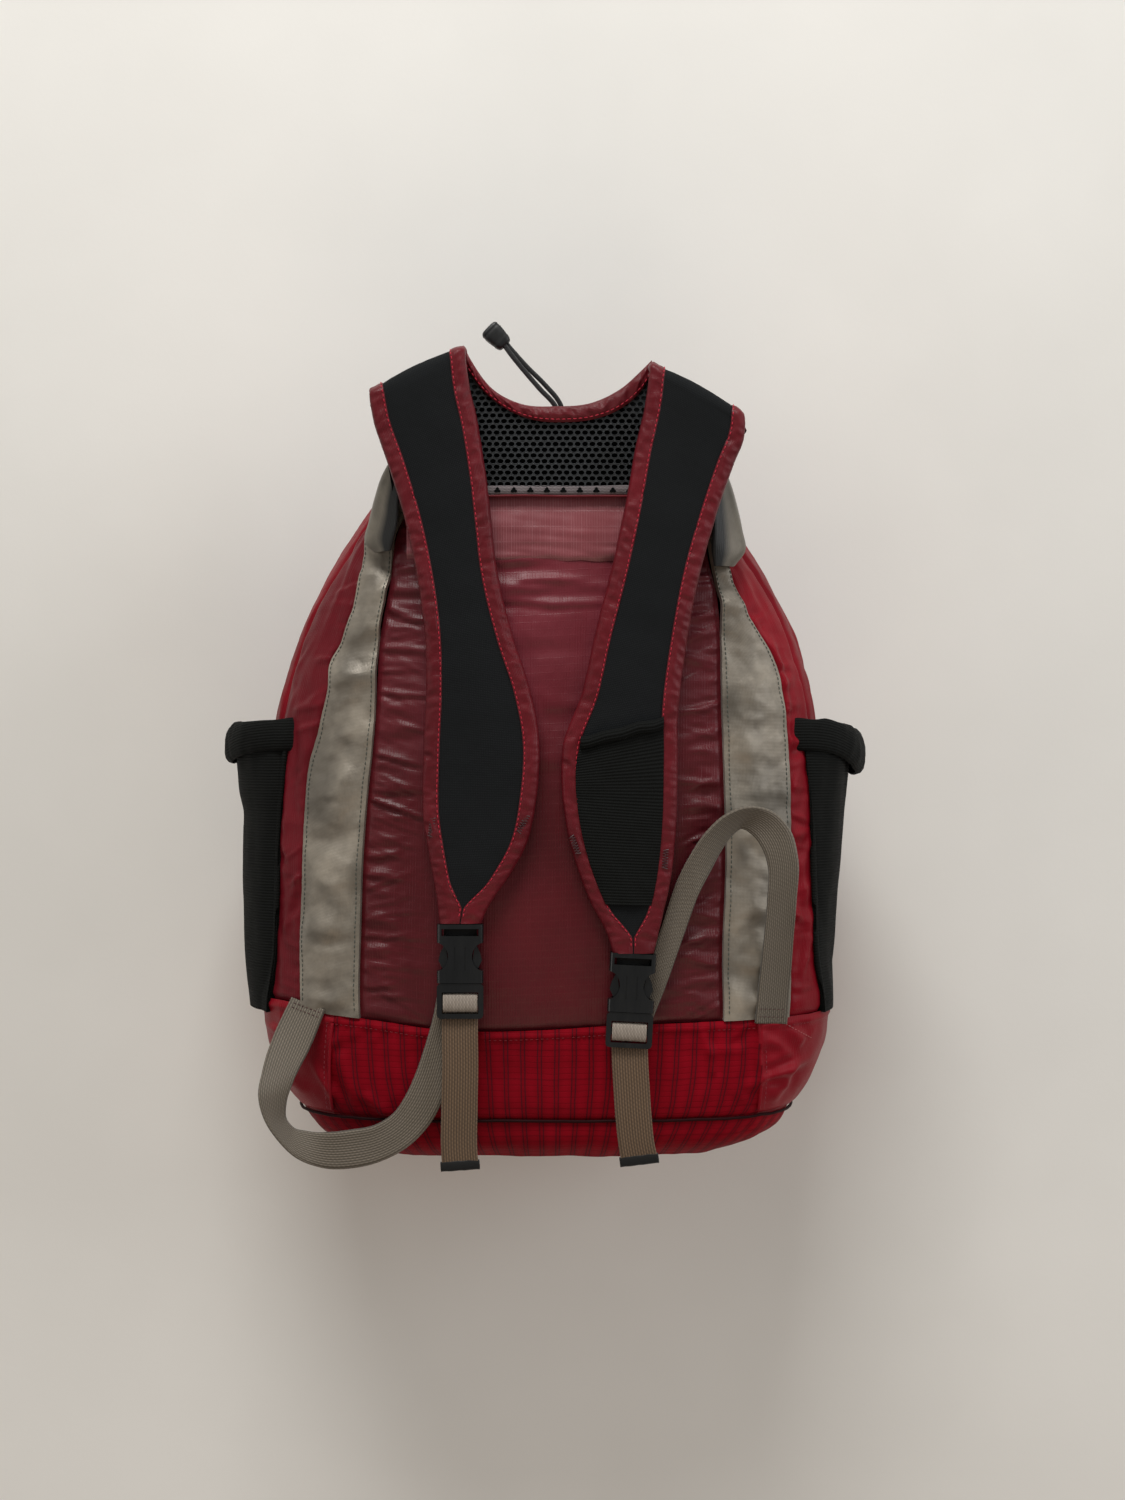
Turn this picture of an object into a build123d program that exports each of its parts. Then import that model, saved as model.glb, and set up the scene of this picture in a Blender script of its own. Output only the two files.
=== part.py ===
from build123d import *
# Zip-top daypack with a vest-style shoulder harness, standing upright on its base.
#
# Frame: +Z up, origin at the middle of the base, harness side (the back) towards -Y, front
# towards +Y, +X to the right when looking at the harness. Millimetres.
# Every fabric panel, pad, webbing, buckle piece and zip piece is written as its own part.
from math import sin, cos, radians, sqrt, pi
import os

os.makedirs("parts", exist_ok=True)

# ---------------------------------------------------------------- driving dimensions
WALL = 3.0            # shell fabric with lining and seam allowance
BASE_SEAM = 25.0      # seam between boot wall and base panel
BOOT_TOP = 82.0       # top seam of the lower boot
BACK_HALF = 122.0     # half width of the back panel
FRONT_HALF = 118.0    # half width of the front panel
BACK_TOP = 391.0      # top seam of the back panel
SEAM_GAP = 0.15       # half the gap left between two neighbouring panels
REACH_X = 250.0       # half sizes of cutting blocks that span the whole bag
REACH_Y = 150.0
REACH_Z = 500.0

# stuffed bag: height, half width, back y, front y
SECTIONS = [
    (0.0, 136.0, -60.0, 60.0),
    (7.0, 150.0, -73.0, 75.0),
    (25.0, 161.0, -81.0, 86.0),
    (60.0, 166.0, -84.5, 92.0),
    (120.0, 168.0, -86.0, 96.0),
    (180.0, 169.0, -86.0, 95.0),
    (240.0, 166.0, -85.5, 88.0),
    (290.0, 156.0, -84.0, 76.0),
    (330.0, 139.0, -82.5, 62.0),
    (365.0, 116.0, -81.0, 45.0),
    (395.0, 94.0, -79.0, 27.0),
    (415.0, 73.0, -74.0, 10.0),
    (430.0, 46.0, -63.0, -9.0),
    (436.5, 22.0, -52.0, -22.0),
]

# main zip: circular arc in a plane tilted back over the top of the bag
ZIP_R = 120.0
ZIP_CENTRE = Vector(0.0, 46.8, 315.4)
ZIP_TILT = radians(24.0)
ZIP_END = 105.0       # degrees each side of the top
TAPE_HALF = 15.0
COIL_GAP = 0.8        # from the zip's centre line to each coil
COIL_W = 2.4
SLIDER_ANGLE = 3.2    # degrees each side of the top
ZIP_NORMAL = Vector(0, cos(ZIP_TILT), sin(ZIP_TILT))
ZIP_UP = Vector(0, -sin(ZIP_TILT), cos(ZIP_TILT))

# front flap and the hinge fabric below it
FLAP_HINGE_Z = 285.0
HINGE_HALF_Z = 12.0
HINGE_HALF_X = 104.0
FLAP_HALF = 130.0

# shoulder harness, y0 on the side away from the bag
STRAP_Y0, STRAP_Y1 = -99.0, -92.0
FACE_T = 0.7          # face sheet on the strap pad
ROLL_R = 5.5          # roll at the top end of each strap
BIND_W = 8.5
YOKE_Y0, YOKE_Y1 = -87.0, -80.5

# webbing and side release buckle
WEB_W = 20.0
WEB_T = 1.4
BUCKLE_W = 26.5
BUCKLE_T = 8.5
BUCKLE_MID_Y = -96.2
SOCKET_H = 33.5


# ---------------------------------------------------------------- helpers
def save(shape, name):
    """Writes one part, dropping slivers that a cut may leave."""
    solids = sorted(shape.solids(), key=lambda s: -s.volume)
    keep = [s for s in solids if s.volume > max(0.5, 0.02 * solids[0].volume)]
    out = keep[0] if len(keep) == 1 else Compound(children=keep)
    export_step(out, f"parts/{name}.step")


def save_pair(shape, stem, side, other_side):
    """Writes a part and its mirror image across the middle of the bag."""
    save(shape, f"{stem}_{side}")
    save(mirror(shape, about=Plane.YZ), f"{stem}_{other_side}")


def block(x0, x1, y0, y1, z0, z1):
    return Pos((x0 + x1) / 2, (y0 + y1) / 2, (z0 + z1) / 2) * Box(x1 - x0, y1 - y0, z1 - z0)


def slab(z0, z1):
    """Block that spans the whole bag between two heights."""
    return block(-REACH_X, REACH_X, -REACH_Y, REACH_Y, z0, z1)


def section_wire(z, half_width, back_y, front_y, count=24):
    """Closed horizontal section: boxy towards the back, rounder towards the front."""
    mid_y, half_depth = (back_y + front_y) / 2, (front_y - back_y) / 2
    points = []
    for i in range(count):
        angle = 2 * pi * i / count
        c, s = cos(angle), sin(angle)
        exponent = 2.6 + 0.8 * (0.5 - 0.5 * s)
        x = half_width * (abs(c) ** (2 / exponent)) * (1 if c >= 0 else -1)
        y = mid_y + half_depth * (abs(s) ** (2 / exponent)) * (1 if s >= 0 else -1)
        points.append(Vector(x, y, z))
    return Wire([Edge.make_spline(points, periodic=True)])


def body(offset):
    """The bag's outer form grown (or shrunk) by offset, as a closed solid."""
    # share of the offset that moves a section up or down; it is zero in between
    last = len(SECTIONS) - 1
    z_share = {0: -1.0, 1: -0.5, last - 1: 0.6, last: 1.0}
    wires = []
    for i, (z, half_width, back_y, front_y) in enumerate(SECTIONS):
        grow = offset
        if 2 < i < last:
            below, above = SECTIONS[i - 1], SECTIONS[i + 1]
            slope = (above[1] - below[1]) / (above[0] - below[0])
            grow = offset * min(2.2, sqrt(1 + slope * slope))
        z += offset * z_share.get(i, 0)
        wires.append(section_wire(z, half_width + grow, back_y - grow, front_y + grow))
    return Solid.make_loft(wires)


def prism(outline, y0, y1):
    """Extrudes a closed outline of (x, z) runs from y0 to y1.

    A run of two points is a straight line, a longer one a spline."""
    edges = []
    for run in outline:
        points = [Vector(x, y0, z) for x, z in run]
        edges.append(Edge.make_line(*points) if len(run) == 2 else Edge.make_spline(points))
    return Solid.extrude(Face(Wire(edges)), Vector(0, y1 - y0, 0))


def ribbon(edge_a, edge_b):
    """Outline between two edges that run the same way, closed by a line at each end."""
    return [edge_a, [edge_a[-1], edge_b[-1]], edge_b[::-1], [edge_b[0], edge_a[0]]]


def segments(points):
    """Straight runs through the points."""
    return [[a, b] for a, b in zip(points, points[1:])]


def zip_plane(lift=0.0):
    """Plane of the main zip: local +Y runs up to the top of the arc."""
    return Plane(origin=ZIP_CENTRE + ZIP_NORMAL * lift, x_dir=(-1, 0, 0), z_dir=ZIP_NORMAL)


def sector(r0, r1, half_angle, lift0, lift1):
    """Ring sector about the zip's centre, thick from lift0 to lift1 along the normal."""
    far = 600.0
    sketch = Circle(r1) - Circle(r0) if r0 > 0 else Circle(r1)
    if half_angle < 180:
        x, y = far * sin(radians(half_angle)), far * cos(radians(half_angle))
        sketch = sketch - make_face(
            Polyline([(0, 0), (x, y), (far, -far), (-far, -far), (-x, y), (0, 0)]))
    return extrude(zip_plane(lift0) * sketch, amount=lift1 - lift0)


# ---------------------------------------------------------------- bag shell and its panels
outer = body(0)
shell = outer - body(-WALL)
clear_of_yoke = body(0.2)
clear_of_bag = body(0.3)

zip_slot = sector(ZIP_R - TAPE_HALF, ZIP_R + TAPE_HALF, ZIP_END, -40, 60)
flap_disc = sector(0, ZIP_R - TAPE_HALF, 180, -25, 70)
hinge_z0, hinge_z1 = FLAP_HINGE_Z - HINGE_HALF_Z, FLAP_HINGE_Z + HINGE_HALF_Z


def flap_area(z0):
    """Room inside the zip arc, above z0."""
    return block(-FLAP_HALF, FLAP_HALF, -30, REACH_Y, z0, REACH_Z) & flap_disc


def panel_block(half_width, y0, y1, z0, z1, gap=0.0):
    """Room of one panel, drawn in by gap at its sides, bottom and top."""
    return block(-half_width + gap, half_width - gap, y0, y1, z0 + gap, z1 - gap)


back_room = (BACK_HALF, -REACH_Y, -20, BOOT_TOP, BACK_TOP)
front_room = (FRONT_HALF, 20, REACH_Y, BOOT_TOP, hinge_z0)
hinge_room = (HINGE_HALF_X, 30, REACH_Y, hinge_z0, hinge_z1)

save(shell & slab(-5, BASE_SEAM - SEAM_GAP), "base_panel")
save(shell & slab(BASE_SEAM + SEAM_GAP, BOOT_TOP - SEAM_GAP), "boot_panel")
PIPING_R = 1.4
save((body(1.6) - outer) & slab(BASE_SEAM - PIPING_R, BASE_SEAM + PIPING_R), "base_piping")

save(shell & panel_block(*back_room, SEAM_GAP), "back_panel")
save(shell & panel_block(*front_room, SEAM_GAP), "front_panel")
save((shell & panel_block(*hinge_room, SEAM_GAP)) - zip_slot, "flap_hinge_fabric")
save(shell & flap_area(hinge_z1 + SEAM_GAP), "front_flap")

side_room = block(-REACH_X, -60, -REACH_Y, REACH_Y, BOOT_TOP + SEAM_GAP, BACK_TOP - SEAM_GAP)
side_room = side_room - panel_block(*back_room) - panel_block(*front_room)
side_room = side_room - panel_block(*hinge_room) - zip_slot - flap_area(hinge_z0)
save_pair(shell & side_room, "side_panel", "left", "right")

top_room = slab(BACK_TOP + SEAM_GAP, REACH_Z) - zip_slot - flap_area(hinge_z1)
save(shell & top_room, "top_gusset")

# ---------------------------------------------------------------- grey strips
# They cover the back seams, slightly proud of the shell. Edges are (x, z), bottom to top.
GREY_LEFT_OUT = [
    (-142.1, 84), (-141.9, 156), (-140.4, 200), (-137.5, 230), (-130.5, 255),
    (-125, 277), (-119, 303), (-112, 335), (-104, 368)]
GREY_LEFT_IN = [
    (-107.6, 84), (-107, 141), (-104.5, 190), (-101.5, 230), (-98.5, 270),
    (-96.5, 303), (-90, 335), (-84, 372)]
GREY_RIGHT_OUT = [
    (142.1, 84), (142.5, 149), (143.1, 187), (142.3, 234), (139, 270),
    (131, 303), (121, 335), (112, 366)]
GREY_RIGHT_IN = [
    (103.2, 84), (103.2, 118), (104.5, 180), (103.6, 226), (102.3, 270),
    (101.6, 303), (98, 335), (92, 371)]

strip_skin = body(1.5) - body(0.12)
for side, out_edge, in_edge in (("left", GREY_LEFT_OUT, GREY_LEFT_IN),
                                ("right", GREY_RIGHT_OUT, GREY_RIGHT_IN)):
    save(strip_skin & prism(ribbon(out_edge, in_edge), -120, -20), f"grey_strip_{side}")

# ---------------------------------------------------------------- back padding and bands
save(block(-100, 100, -79.5, -73.5, 92, 380) & body(-4.0), "back_foam")
save(block(-74, 74, -84.9, -83.1, 353, 386) - clear_of_yoke, "upper_back_band")
save(block(-62, 62, -86.2, -81.2, 386.3, 391.3) - clear_of_yoke, "yoke_trim_tape")

# ---------------------------------------------------------------- yoke behind the neck
# upper and lower edge of the neck binding, (x, z) from left to right
NECK_TOP = [
    (-47.3, 466.5), (-42.1, 458.0), (-29.5, 444.0), (-12.8, 437.1),
    (6.3, 435.9), (25.8, 438.0), (42.5, 446.0), (53.5, 455.0)]
NECK_LOW = [
    (-50.5, 455.0), (-33.2, 440.5), (-18.5, 432.0), (-3.8, 428.2),
    (10.9, 427.6), (25.8, 429.3), (41.7, 434.8), (56.0, 444.5)]
# remaining corners of the yoke, (x, z) from top right round to top left
YOKE_CORNERS = [(110.5, 424.5), (94, 391.6), (-82, 391.6), (-96.0, 436.0)]

yoke = prism([NECK_LOW] + segments([NECK_LOW[-1], *YOKE_CORNERS, NECK_LOW[0]]),
             YOKE_Y0, YOKE_Y1)
save(yoke - clear_of_yoke, "yoke_pad")
binding = prism(ribbon(NECK_TOP, NECK_LOW), YOKE_Y0 - 0.4, YOKE_Y1 + 0.4)
save(binding - clear_of_yoke - yoke, "neck_binding")


# ---------------------------------------------------------------- stabiliser bands
def stabiliser(side_sign, low, high, bulge=5.0, thickness=1.6):
    """Thin band from low to high, both (x, z), bowed outwards."""
    out_edge = []
    for i in range(9):
        t = i / 8
        x = low[0] + (high[0] - low[0]) * t + side_sign * bulge * sin(pi * t)
        out_edge.append((x, low[1] + (high[1] - low[1]) * t))
    in_edge = [(x - side_sign * thickness, z) for x, z in out_edge]
    return prism(ribbon(out_edge, in_edge), -79.0, -48.0)


clear_of_skin = body(0.25)
save(stabiliser(-1, (-118.5, 366), (-97.5, 424)) - clear_of_skin, "stabiliser_left")
save(stabiliser(1, (120.5, 364), (106.0, 416)) - clear_of_skin, "stabiliser_right")

# ---------------------------------------------------------------- side pockets
# Elliptical tubes around a point near the bag's side; built on the right and mirrored.
SIDE_POCKET_X, SIDE_POCKET_Y = 152, 6
SIDE_POCKET_Z0 = BOOT_TOP + 0.3
SIDE_POCKET_Z1 = 246
SIDE_POCKET_WALL = 1.8
SIDE_FLOOR_T = 2.0
# height, half size in x, half size in y
SIDE_POCKET_LEVELS = [
    (SIDE_POCKET_Z0, 18.5, 52), (110, 27, 58), (150, 30, 60),
    (200, 32, 61), (228, 36, 62), (SIDE_POCKET_Z1, 41, 62)]
HEM_Z0, HEM_Z1 = 246.2, 258.0
HEM_HALF_X, HEM_HALF_Y = 42.0, 61.5
HEM_HALF_T = 2.0


def side_pocket_form(grow, count=28):
    wires = []
    for z, half_x, half_y in SIDE_POCKET_LEVELS:
        points = []
        for i in range(count):
            angle = 2 * pi * i / count
            points.append(Vector(SIDE_POCKET_X + (half_x + grow) * cos(angle),
                                 SIDE_POCKET_Y + (half_y + grow) * sin(angle), z))
        wires.append(Wire([Edge.make_spline(points, periodic=True)]))
    return Solid.make_loft(wires)


def side_pocket_room(z0, z1):
    return block(140, 260, -80, 90, z0, z1)


def hem_ellipse(z, grow, height):
    ellipse = Ellipse(HEM_HALF_X + grow, HEM_HALF_Y + grow)
    return extrude(Plane.XY.offset(z) * Pos(SIDE_POCKET_X, SIDE_POCKET_Y) * ellipse,
                   amount=height)


tube = (side_pocket_form(0) - side_pocket_form(-SIDE_POCKET_WALL)) - clear_of_bag
tube = tube & side_pocket_room(SIDE_POCKET_Z0, SIDE_POCKET_Z1)
floor = side_pocket_form(0) & side_pocket_room(SIDE_POCKET_Z0, SIDE_POCKET_Z0 + SIDE_FLOOR_T)
floor = floor - clear_of_bag
save_pair(tube + floor, "side_pocket", "right", "left")

hem_height = HEM_Z1 - HEM_Z0
hem = hem_ellipse(HEM_Z0, HEM_HALF_T, hem_height)
hem = hem - hem_ellipse(HEM_Z0 - 1, -HEM_HALF_T, hem_height + 2)
hem = (hem & side_pocket_room(HEM_Z0, HEM_Z1)) - clear_of_bag
save_pair(hem, "pocket_hem", "right", "left")

# ---------------------------------------------------------------- front pocket and its zip
POCKET_PROUD = 11.0
POCKET_WALL = 2.0
POCKET_HALF = 92
POCKET_Z0, POCKET_Z1 = 86, 186
POCKET_ZIP_HALF = 80
POCKET_ZIP_Z0, POCKET_ZIP_Z1 = 172.5, 184.5

front_pocket = body(POCKET_PROUD) & block(
    -POCKET_HALF, POCKET_HALF, 40, 160, POCKET_Z0, POCKET_Z1)
pocket_hollow = body(POCKET_PROUD - POCKET_WALL) & block(
    -POCKET_HALF + POCKET_WALL, POCKET_HALF - POCKET_WALL, 30, 160,
    POCKET_Z0 + POCKET_WALL, POCKET_Z1 - POCKET_WALL)
front_pocket = (front_pocket - pocket_hollow) - clear_of_skin
pocket_zip_slot = block(
    -POCKET_ZIP_HALF, POCKET_ZIP_HALF, 60, 160, POCKET_ZIP_Z0, POCKET_ZIP_Z1)
save(front_pocket - pocket_zip_slot, "front_pocket")

pocket_zip = (body(10.6) - body(9.2)) & block(
    -POCKET_ZIP_HALF + 0.5, POCKET_ZIP_HALF - 0.5, 60, 160,
    POCKET_ZIP_Z0 + 0.2, POCKET_ZIP_Z1 - 0.2)
save(pocket_zip, "front_pocket_zip")

# slider and pull at the middle of the pocket zip, in front of the pocket's foremost point
pocket_y = max(section[3] for section in SECTIONS) + POCKET_PROUD
pocket_slider = (block(-6, 6, pocket_y + 0.4, pocket_y + 3.4, 174.0, 183.0)
                 + block(-2.5, 2.5, pocket_y + 3.4, pocket_y + 5.2, 176.5, 180.5))
save(pocket_slider, "front_pocket_slider")
pocket_pull = (block(-2.0, 2.0, pocket_y + 5.5, pocket_y + 7.5, 158.0, 179.0)
               + block(-3.5, 3.5, pocket_y + 5.3, pocket_y + 9.0, 143.0, 158.5))
save(pocket_pull, "front_pocket_pull")


# ---------------------------------------------------------------- main zip
def zip_half(tape_radii, coil_radii):
    """Thin tape with a thicker coil along one edge."""
    return (sector(*tape_radii, ZIP_END - 0.2, -0.6, 0.6)
            + sector(*coil_radii, ZIP_END - 0.2, -1.4, 1.4))


coil_out, coil_in = ZIP_R + COIL_GAP, ZIP_R - COIL_GAP
save(zip_half((coil_out, ZIP_R + TAPE_HALF - 0.1), (coil_out, coil_out + COIL_W)),
     "main_zip_fixed_half")
save(zip_half((ZIP_R - TAPE_HALF + 0.1, coil_in), (coil_in - COIL_W, coil_in)),
     "main_zip_flap_half")


def zip_slider():
    """Slider at the top of the arc: two plates, a post between the coils, flanges, a bail."""
    top_plate = Pos(0, ZIP_R, 2.6) * Box(10, 9.6, 1.6)
    low_plate = Pos(0, ZIP_R, -2.6) * Box(10, 9.6, 1.6)
    post = Pos(0, ZIP_R, 0) * Box(3.0, 1.0, 5.4)
    flange = Box(10, 0.8, 1.4)
    flanges = Pos(0, ZIP_R + 4.4, 1.5) * flange + Pos(0, ZIP_R - 4.4, 1.5) * flange
    bail = Pos(0, ZIP_R, 4.6) * (Box(7.5, 2.2, 3.2) - Pos(0, 0, -0.3) * Box(4.5, 4, 1.6))
    return zip_plane() * (top_plate + low_plate + post + flanges + bail)


zip_axis = Axis(ZIP_CENTRE, ZIP_NORMAL)
save(zip_slider().rotate(zip_axis, -SLIDER_ANGLE), "main_zip_slider_left")
save(zip_slider().rotate(zip_axis, SLIDER_ANGLE), "main_zip_slider_right")


# ---------------------------------------------------------------- main zip pulls
def on_zip(angle, lift, out=0.0):
    """Point over the arc, angle in degrees from the top towards +X."""
    radial = ZIP_UP * cos(radians(angle)) + Vector(1, 0, 0) * sin(radians(angle))
    return ZIP_CENTRE + radial * (ZIP_R + out) + ZIP_NORMAL * lift


def cord(points, radius):
    path = Edge.make_spline([Vector(*p) for p in points])
    profile = Plane(origin=path.position_at(0), z_dir=path.tangent_at(0)) * Circle(radius)
    return sweep(profile, path=path)


def grip(origin, x_dir, z_dir):
    plane = Plane(origin=Vector(*origin), x_dir=x_dir, z_dir=z_dir)
    return extrude(plane * RectangleRounded(11, 8, 2.5), amount=15, taper=-3)


# pull of the right slider: a doubled cord that stands up and leans to the left
root = on_zip(SLIDER_ANGLE, 8.6, 1.0)
cord_rear = cord([
    (root.X, root.Y, root.Z), (9.5, -6.0, 443.0), (5.0, -9.0, 453.0),
    (-4.7, -10.5, 463.0), (-14.8, -11.5, 474.5), (-23.5, -12.0, 486.0)], 1.3)
cord_fore = cord([
    (root.X + 0.4, root.Y + 2.9, root.Z), (12.3, -3.0, 444.0), (8.2, -6.0, 455.0),
    (-1.6, -7.4, 465.4), (-11.9, -8.4, 477.0), (-21.0, -9.1, 487.8)], 1.3)
save(Compound(children=[cord_rear.solids()[0], cord_fore.solids()[0]]), "zip_cord_right")
save(grip((-24.8, -10.6, 489.0), (0.7, 0, 0.714), (-0.714, 0, 0.7)), "zip_grip_right")

# pull of the left slider: lies along the track towards the left
root = on_zip(-SLIDER_ANGLE, 9.4)
save(cord([
    (root.X - 1.0, root.Y, root.Z), (-22.0, root.Y + 2.0, root.Z - 1.0),
    (-38.0, root.Y + 3.5, root.Z - 3.5), (-52.0, root.Y + 6.0, root.Z - 8.0)], 1.6),
    "zip_cord_left")
save(grip((-52.3, root.Y + 6.0, root.Z - 8.2), (-0.3, 0, 0.95), (-0.95, 0.1, -0.3)),
     "zip_grip_left")

# ---------------------------------------------------------------- shoulder straps
# Strap edges, (x, z) from top to bottom: "in" is the edge nearer the middle of the bag.
LEFT_OUT = [
    (-99.2, 440.0), (-96.9, 427.0), (-88.0, 400.7), (-78.6, 368.8), (-74.1, 348.3),
    (-67.8, 302.7), (-67.2, 273.6), (-68.7, 237.2), (-68.7, 200.9), (-65.8, 181.9),
    (-60.7, 152.8), (-58.4, 141.0)]
LEFT_IN = [
    (-46.1, 465.4), (-44.4, 450.3), (-39.3, 427.0), (-34.7, 397.9), (-31.3, 368.8),
    (-29.0, 348.3), (-18.5, 302.7), (-9.1, 273.6), (-4.0, 244.6), (-5.4, 215.5),
    (-11.4, 186.4), (-23.6, 164.8), (-34.5, 149.9), (-38.4, 141.0)]
RIGHT_IN = [
    (60.2, 455.7), (58.7, 441.5), (52.5, 412.4), (47.3, 383.3), (39.9, 348.3),
    (28.5, 302.7), (21.7, 272.1), (10.9, 241.7), (10.1, 223.5), (14.7, 188.1),
    (26.8, 153.1), (37.0, 133.2), (40.4, 125.0)]
RIGHT_OUT = [
    (113.6, 426.6), (113.0, 419.0), (106.0, 400.7), (94.6, 366.0), (89.5, 348.3),
    (80.4, 302.7), (75.0, 257.1), (75.0, 226.3), (74.1, 195.8), (71.3, 168.2),
    (65.0, 138.7), (60.4, 125.0)]
# inner and outer end of the fold line over each strap's roll
LEFT_FOLD = ((-46.7, 471.4), (-100.3, 445.8))
RIGHT_FOLD = ((61.0, 461.7), (114.0, 432.7))


def x_at_height(edge, z):
    for a, b in zip(edge, edge[1:]):
        if (a[1] - z) * (b[1] - z) <= 0 and a[1] != b[1]:
            t = (z - a[1]) / (b[1] - a[1])
            return a[0] + t * (b[0] - a[0])
    return edge[0][0] if z > edge[0][1] else edge[-1][0]


def inset_edge(edge, other, sign, z_bottom):
    """Edge moved by the binding width towards the other, where the strap is wide enough."""
    moved = []
    for x, z in edge:
        width = sign * (x_at_height(other, z) - x)
        if z >= z_bottom and width > 2.3 * BIND_W:
            moved.append((x + sign * BIND_W, z - (BIND_W * 0.12 if z > 430 else 0)))
    return moved


def fold_roll(fold):
    """Roll just below the fold line, 1 mm short of it at each end."""
    mid_y = STRAP_Y0 + ROLL_R
    inner_end, outer_end = [Vector(x, mid_y, z) for x, z in fold]
    along = (outer_end - inner_end).normalized()
    up = Vector(-along.Z, 0, along.X)
    if up.Z < 0:
        up = up * -1
    start = inner_end - up * ROLL_R + along * 1.0
    end = outer_end - up * ROLL_R - along * 1.0
    return Solid.make_cylinder(ROLL_R, (end - start).length,
                               Plane(origin=start, z_dir=end - start))


def build_strap(left, right, fold, name):
    """Pad with a face sheet on its outer side and a binding around both."""
    whole = prism(ribbon(left, right), STRAP_Y0, STRAP_Y1)
    z_bottom = left[-1][1] + 22
    core_left = inset_edge(left, right, 1, z_bottom)
    core_right = inset_edge(right, left, -1, z_bottom)
    tip = ((core_left[-1][0] + core_right[-1][0]) / 2,
           min(core_left[-1][1], core_right[-1][1]) - 16)
    outline = [core_left, *segments([core_left[-1], tip, core_right[-1]]),
               core_right[::-1], [core_right[0], core_left[0]]]
    core = prism(outline, STRAP_Y0 + FACE_T, STRAP_Y1)
    face_sheet = prism(outline, STRAP_Y0, STRAP_Y0 + FACE_T)
    roll = fold_roll(fold)
    edge_strip = whole - prism(outline, STRAP_Y0 - 1, STRAP_Y1 + 1) - roll
    save((core - roll) + roll, f"strap_pad_{name}")
    save(face_sheet - roll, f"strap_face_{name}")
    save(edge_strip, f"strap_binding_{name}")


build_strap(LEFT_OUT, LEFT_IN, LEFT_FOLD, "left")
build_strap(RIGHT_IN, RIGHT_OUT, RIGHT_FOLD, "right")

# pocket on the outer face of the right strap, just inside its binding
STRAP_POCKET_LEVELS = [238.0, 224, 205, 188, 170, 153.0]
pocket_inset = BIND_W + 0.3
pocket_left = [(x_at_height(RIGHT_IN, z) + pocket_inset, z) for z in STRAP_POCKET_LEVELS]
pocket_right = [(x_at_height(RIGHT_OUT, z) - pocket_inset, z) for z in STRAP_POCKET_LEVELS]
save(prism(ribbon(pocket_left, pocket_right), STRAP_Y0 - 2.2, STRAP_Y0 - 0.02),
     "strap_pocket_right")

# ---------------------------------------------------------------- side release buckles
# Each piece is built in the buckle's own frame: origin at mid thickness in the middle of the
# socket's top edge, axes as the bag's, so the rest hangs below z = 0.
LATCH_Z = -SOCKET_H - 0.3             # top of the latch frame
LATCH_HALF_SLOT = 10.4
UPPER_SLOT = (LATCH_Z - 9.2, LATCH_Z - 5.0)
LOWER_SLOT = (LATCH_Z - 17.2, LATCH_Z - 13.0)
ARM_X = 8.2                           # arm roots, each side of the middle
TAIL_Y = -0.6
TAIL_TOP = LATCH_Z - 21.0


def buckle_socket():
    """Hollow body with a webbing slot on top, oval side windows and two face grooves."""
    half_w, half_t = BUCKLE_W / 2, BUCKLE_T / 2
    socket = block(-half_w, half_w, -half_t, half_t, -SOCKET_H, 0)
    socket = fillet(socket.edges().filter_by(Axis.Z), 2.2)
    cavity = block(-11.0, 11.0, -2.6, 2.6, -SOCKET_H - 1, -9.5)
    web_slot = block(-10.6, 10.6, -10, 10, -6.6, -2.6)
    socket = socket - cavity - web_slot
    for x in (14.2, -14.2):
        window = extrude(Plane.XZ * (Pos(x, -18.5) * Ellipse(7.4, 8.2)), amount=30)
        socket = socket - Pos(0, 15, 0) * window
    for x in (-3.0, 3.0):
        socket = socket - block(x - 0.4, x + 0.4, -half_t - 1, -half_t + 0.5, -26, -13)
    return socket


def latch_frame():
    """Ladder with three bars, a guide tongue up into the socket and two arm seats."""
    half_w, half_slot = BUCKLE_W / 2, LATCH_HALF_SLOT
    frame = block(-half_w, half_w, -3.6, 3.6, LATCH_Z - 20.0, LATCH_Z)
    frame = fillet(frame.edges().filter_by(Axis.Y), 2.4)
    upper_slot = block(-half_slot, half_slot, -10, 10, *UPPER_SLOT)
    lower_slot = block(-half_slot, half_slot, -10, 10, *LOWER_SLOT)
    recess = block(-half_slot, half_slot, -10, -1.4, LOWER_SLOT[0], UPPER_SLOT[1])
    tongue = block(-1.8, 1.8, -2.3, 2.3, LATCH_Z - 0.5, LATCH_Z + 19.0)
    arm_seats = (block(-10.0, -6.4, -2.5, 2.5, LATCH_Z - 4.0, LATCH_Z + 1)
                 + block(6.4, 10.0, -2.5, 2.5, LATCH_Z - 4.0, LATCH_Z + 1))
    return frame - upper_slot - lower_slot - recess + tongue - arm_seats


# arm edges from the root up: distance outwards from the root, height above it
ARM_INNER = [(-0.9, 0), (-1.3, 10), (-0.6, 19), (0.2, 23.0)]
ARM_OUTER = [(0.9, 0), (0.9, 9.4), (2.4, 11.4), (4.2, 15.0), (3.2, 19.4), (1.3, 23.2)]


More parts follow.
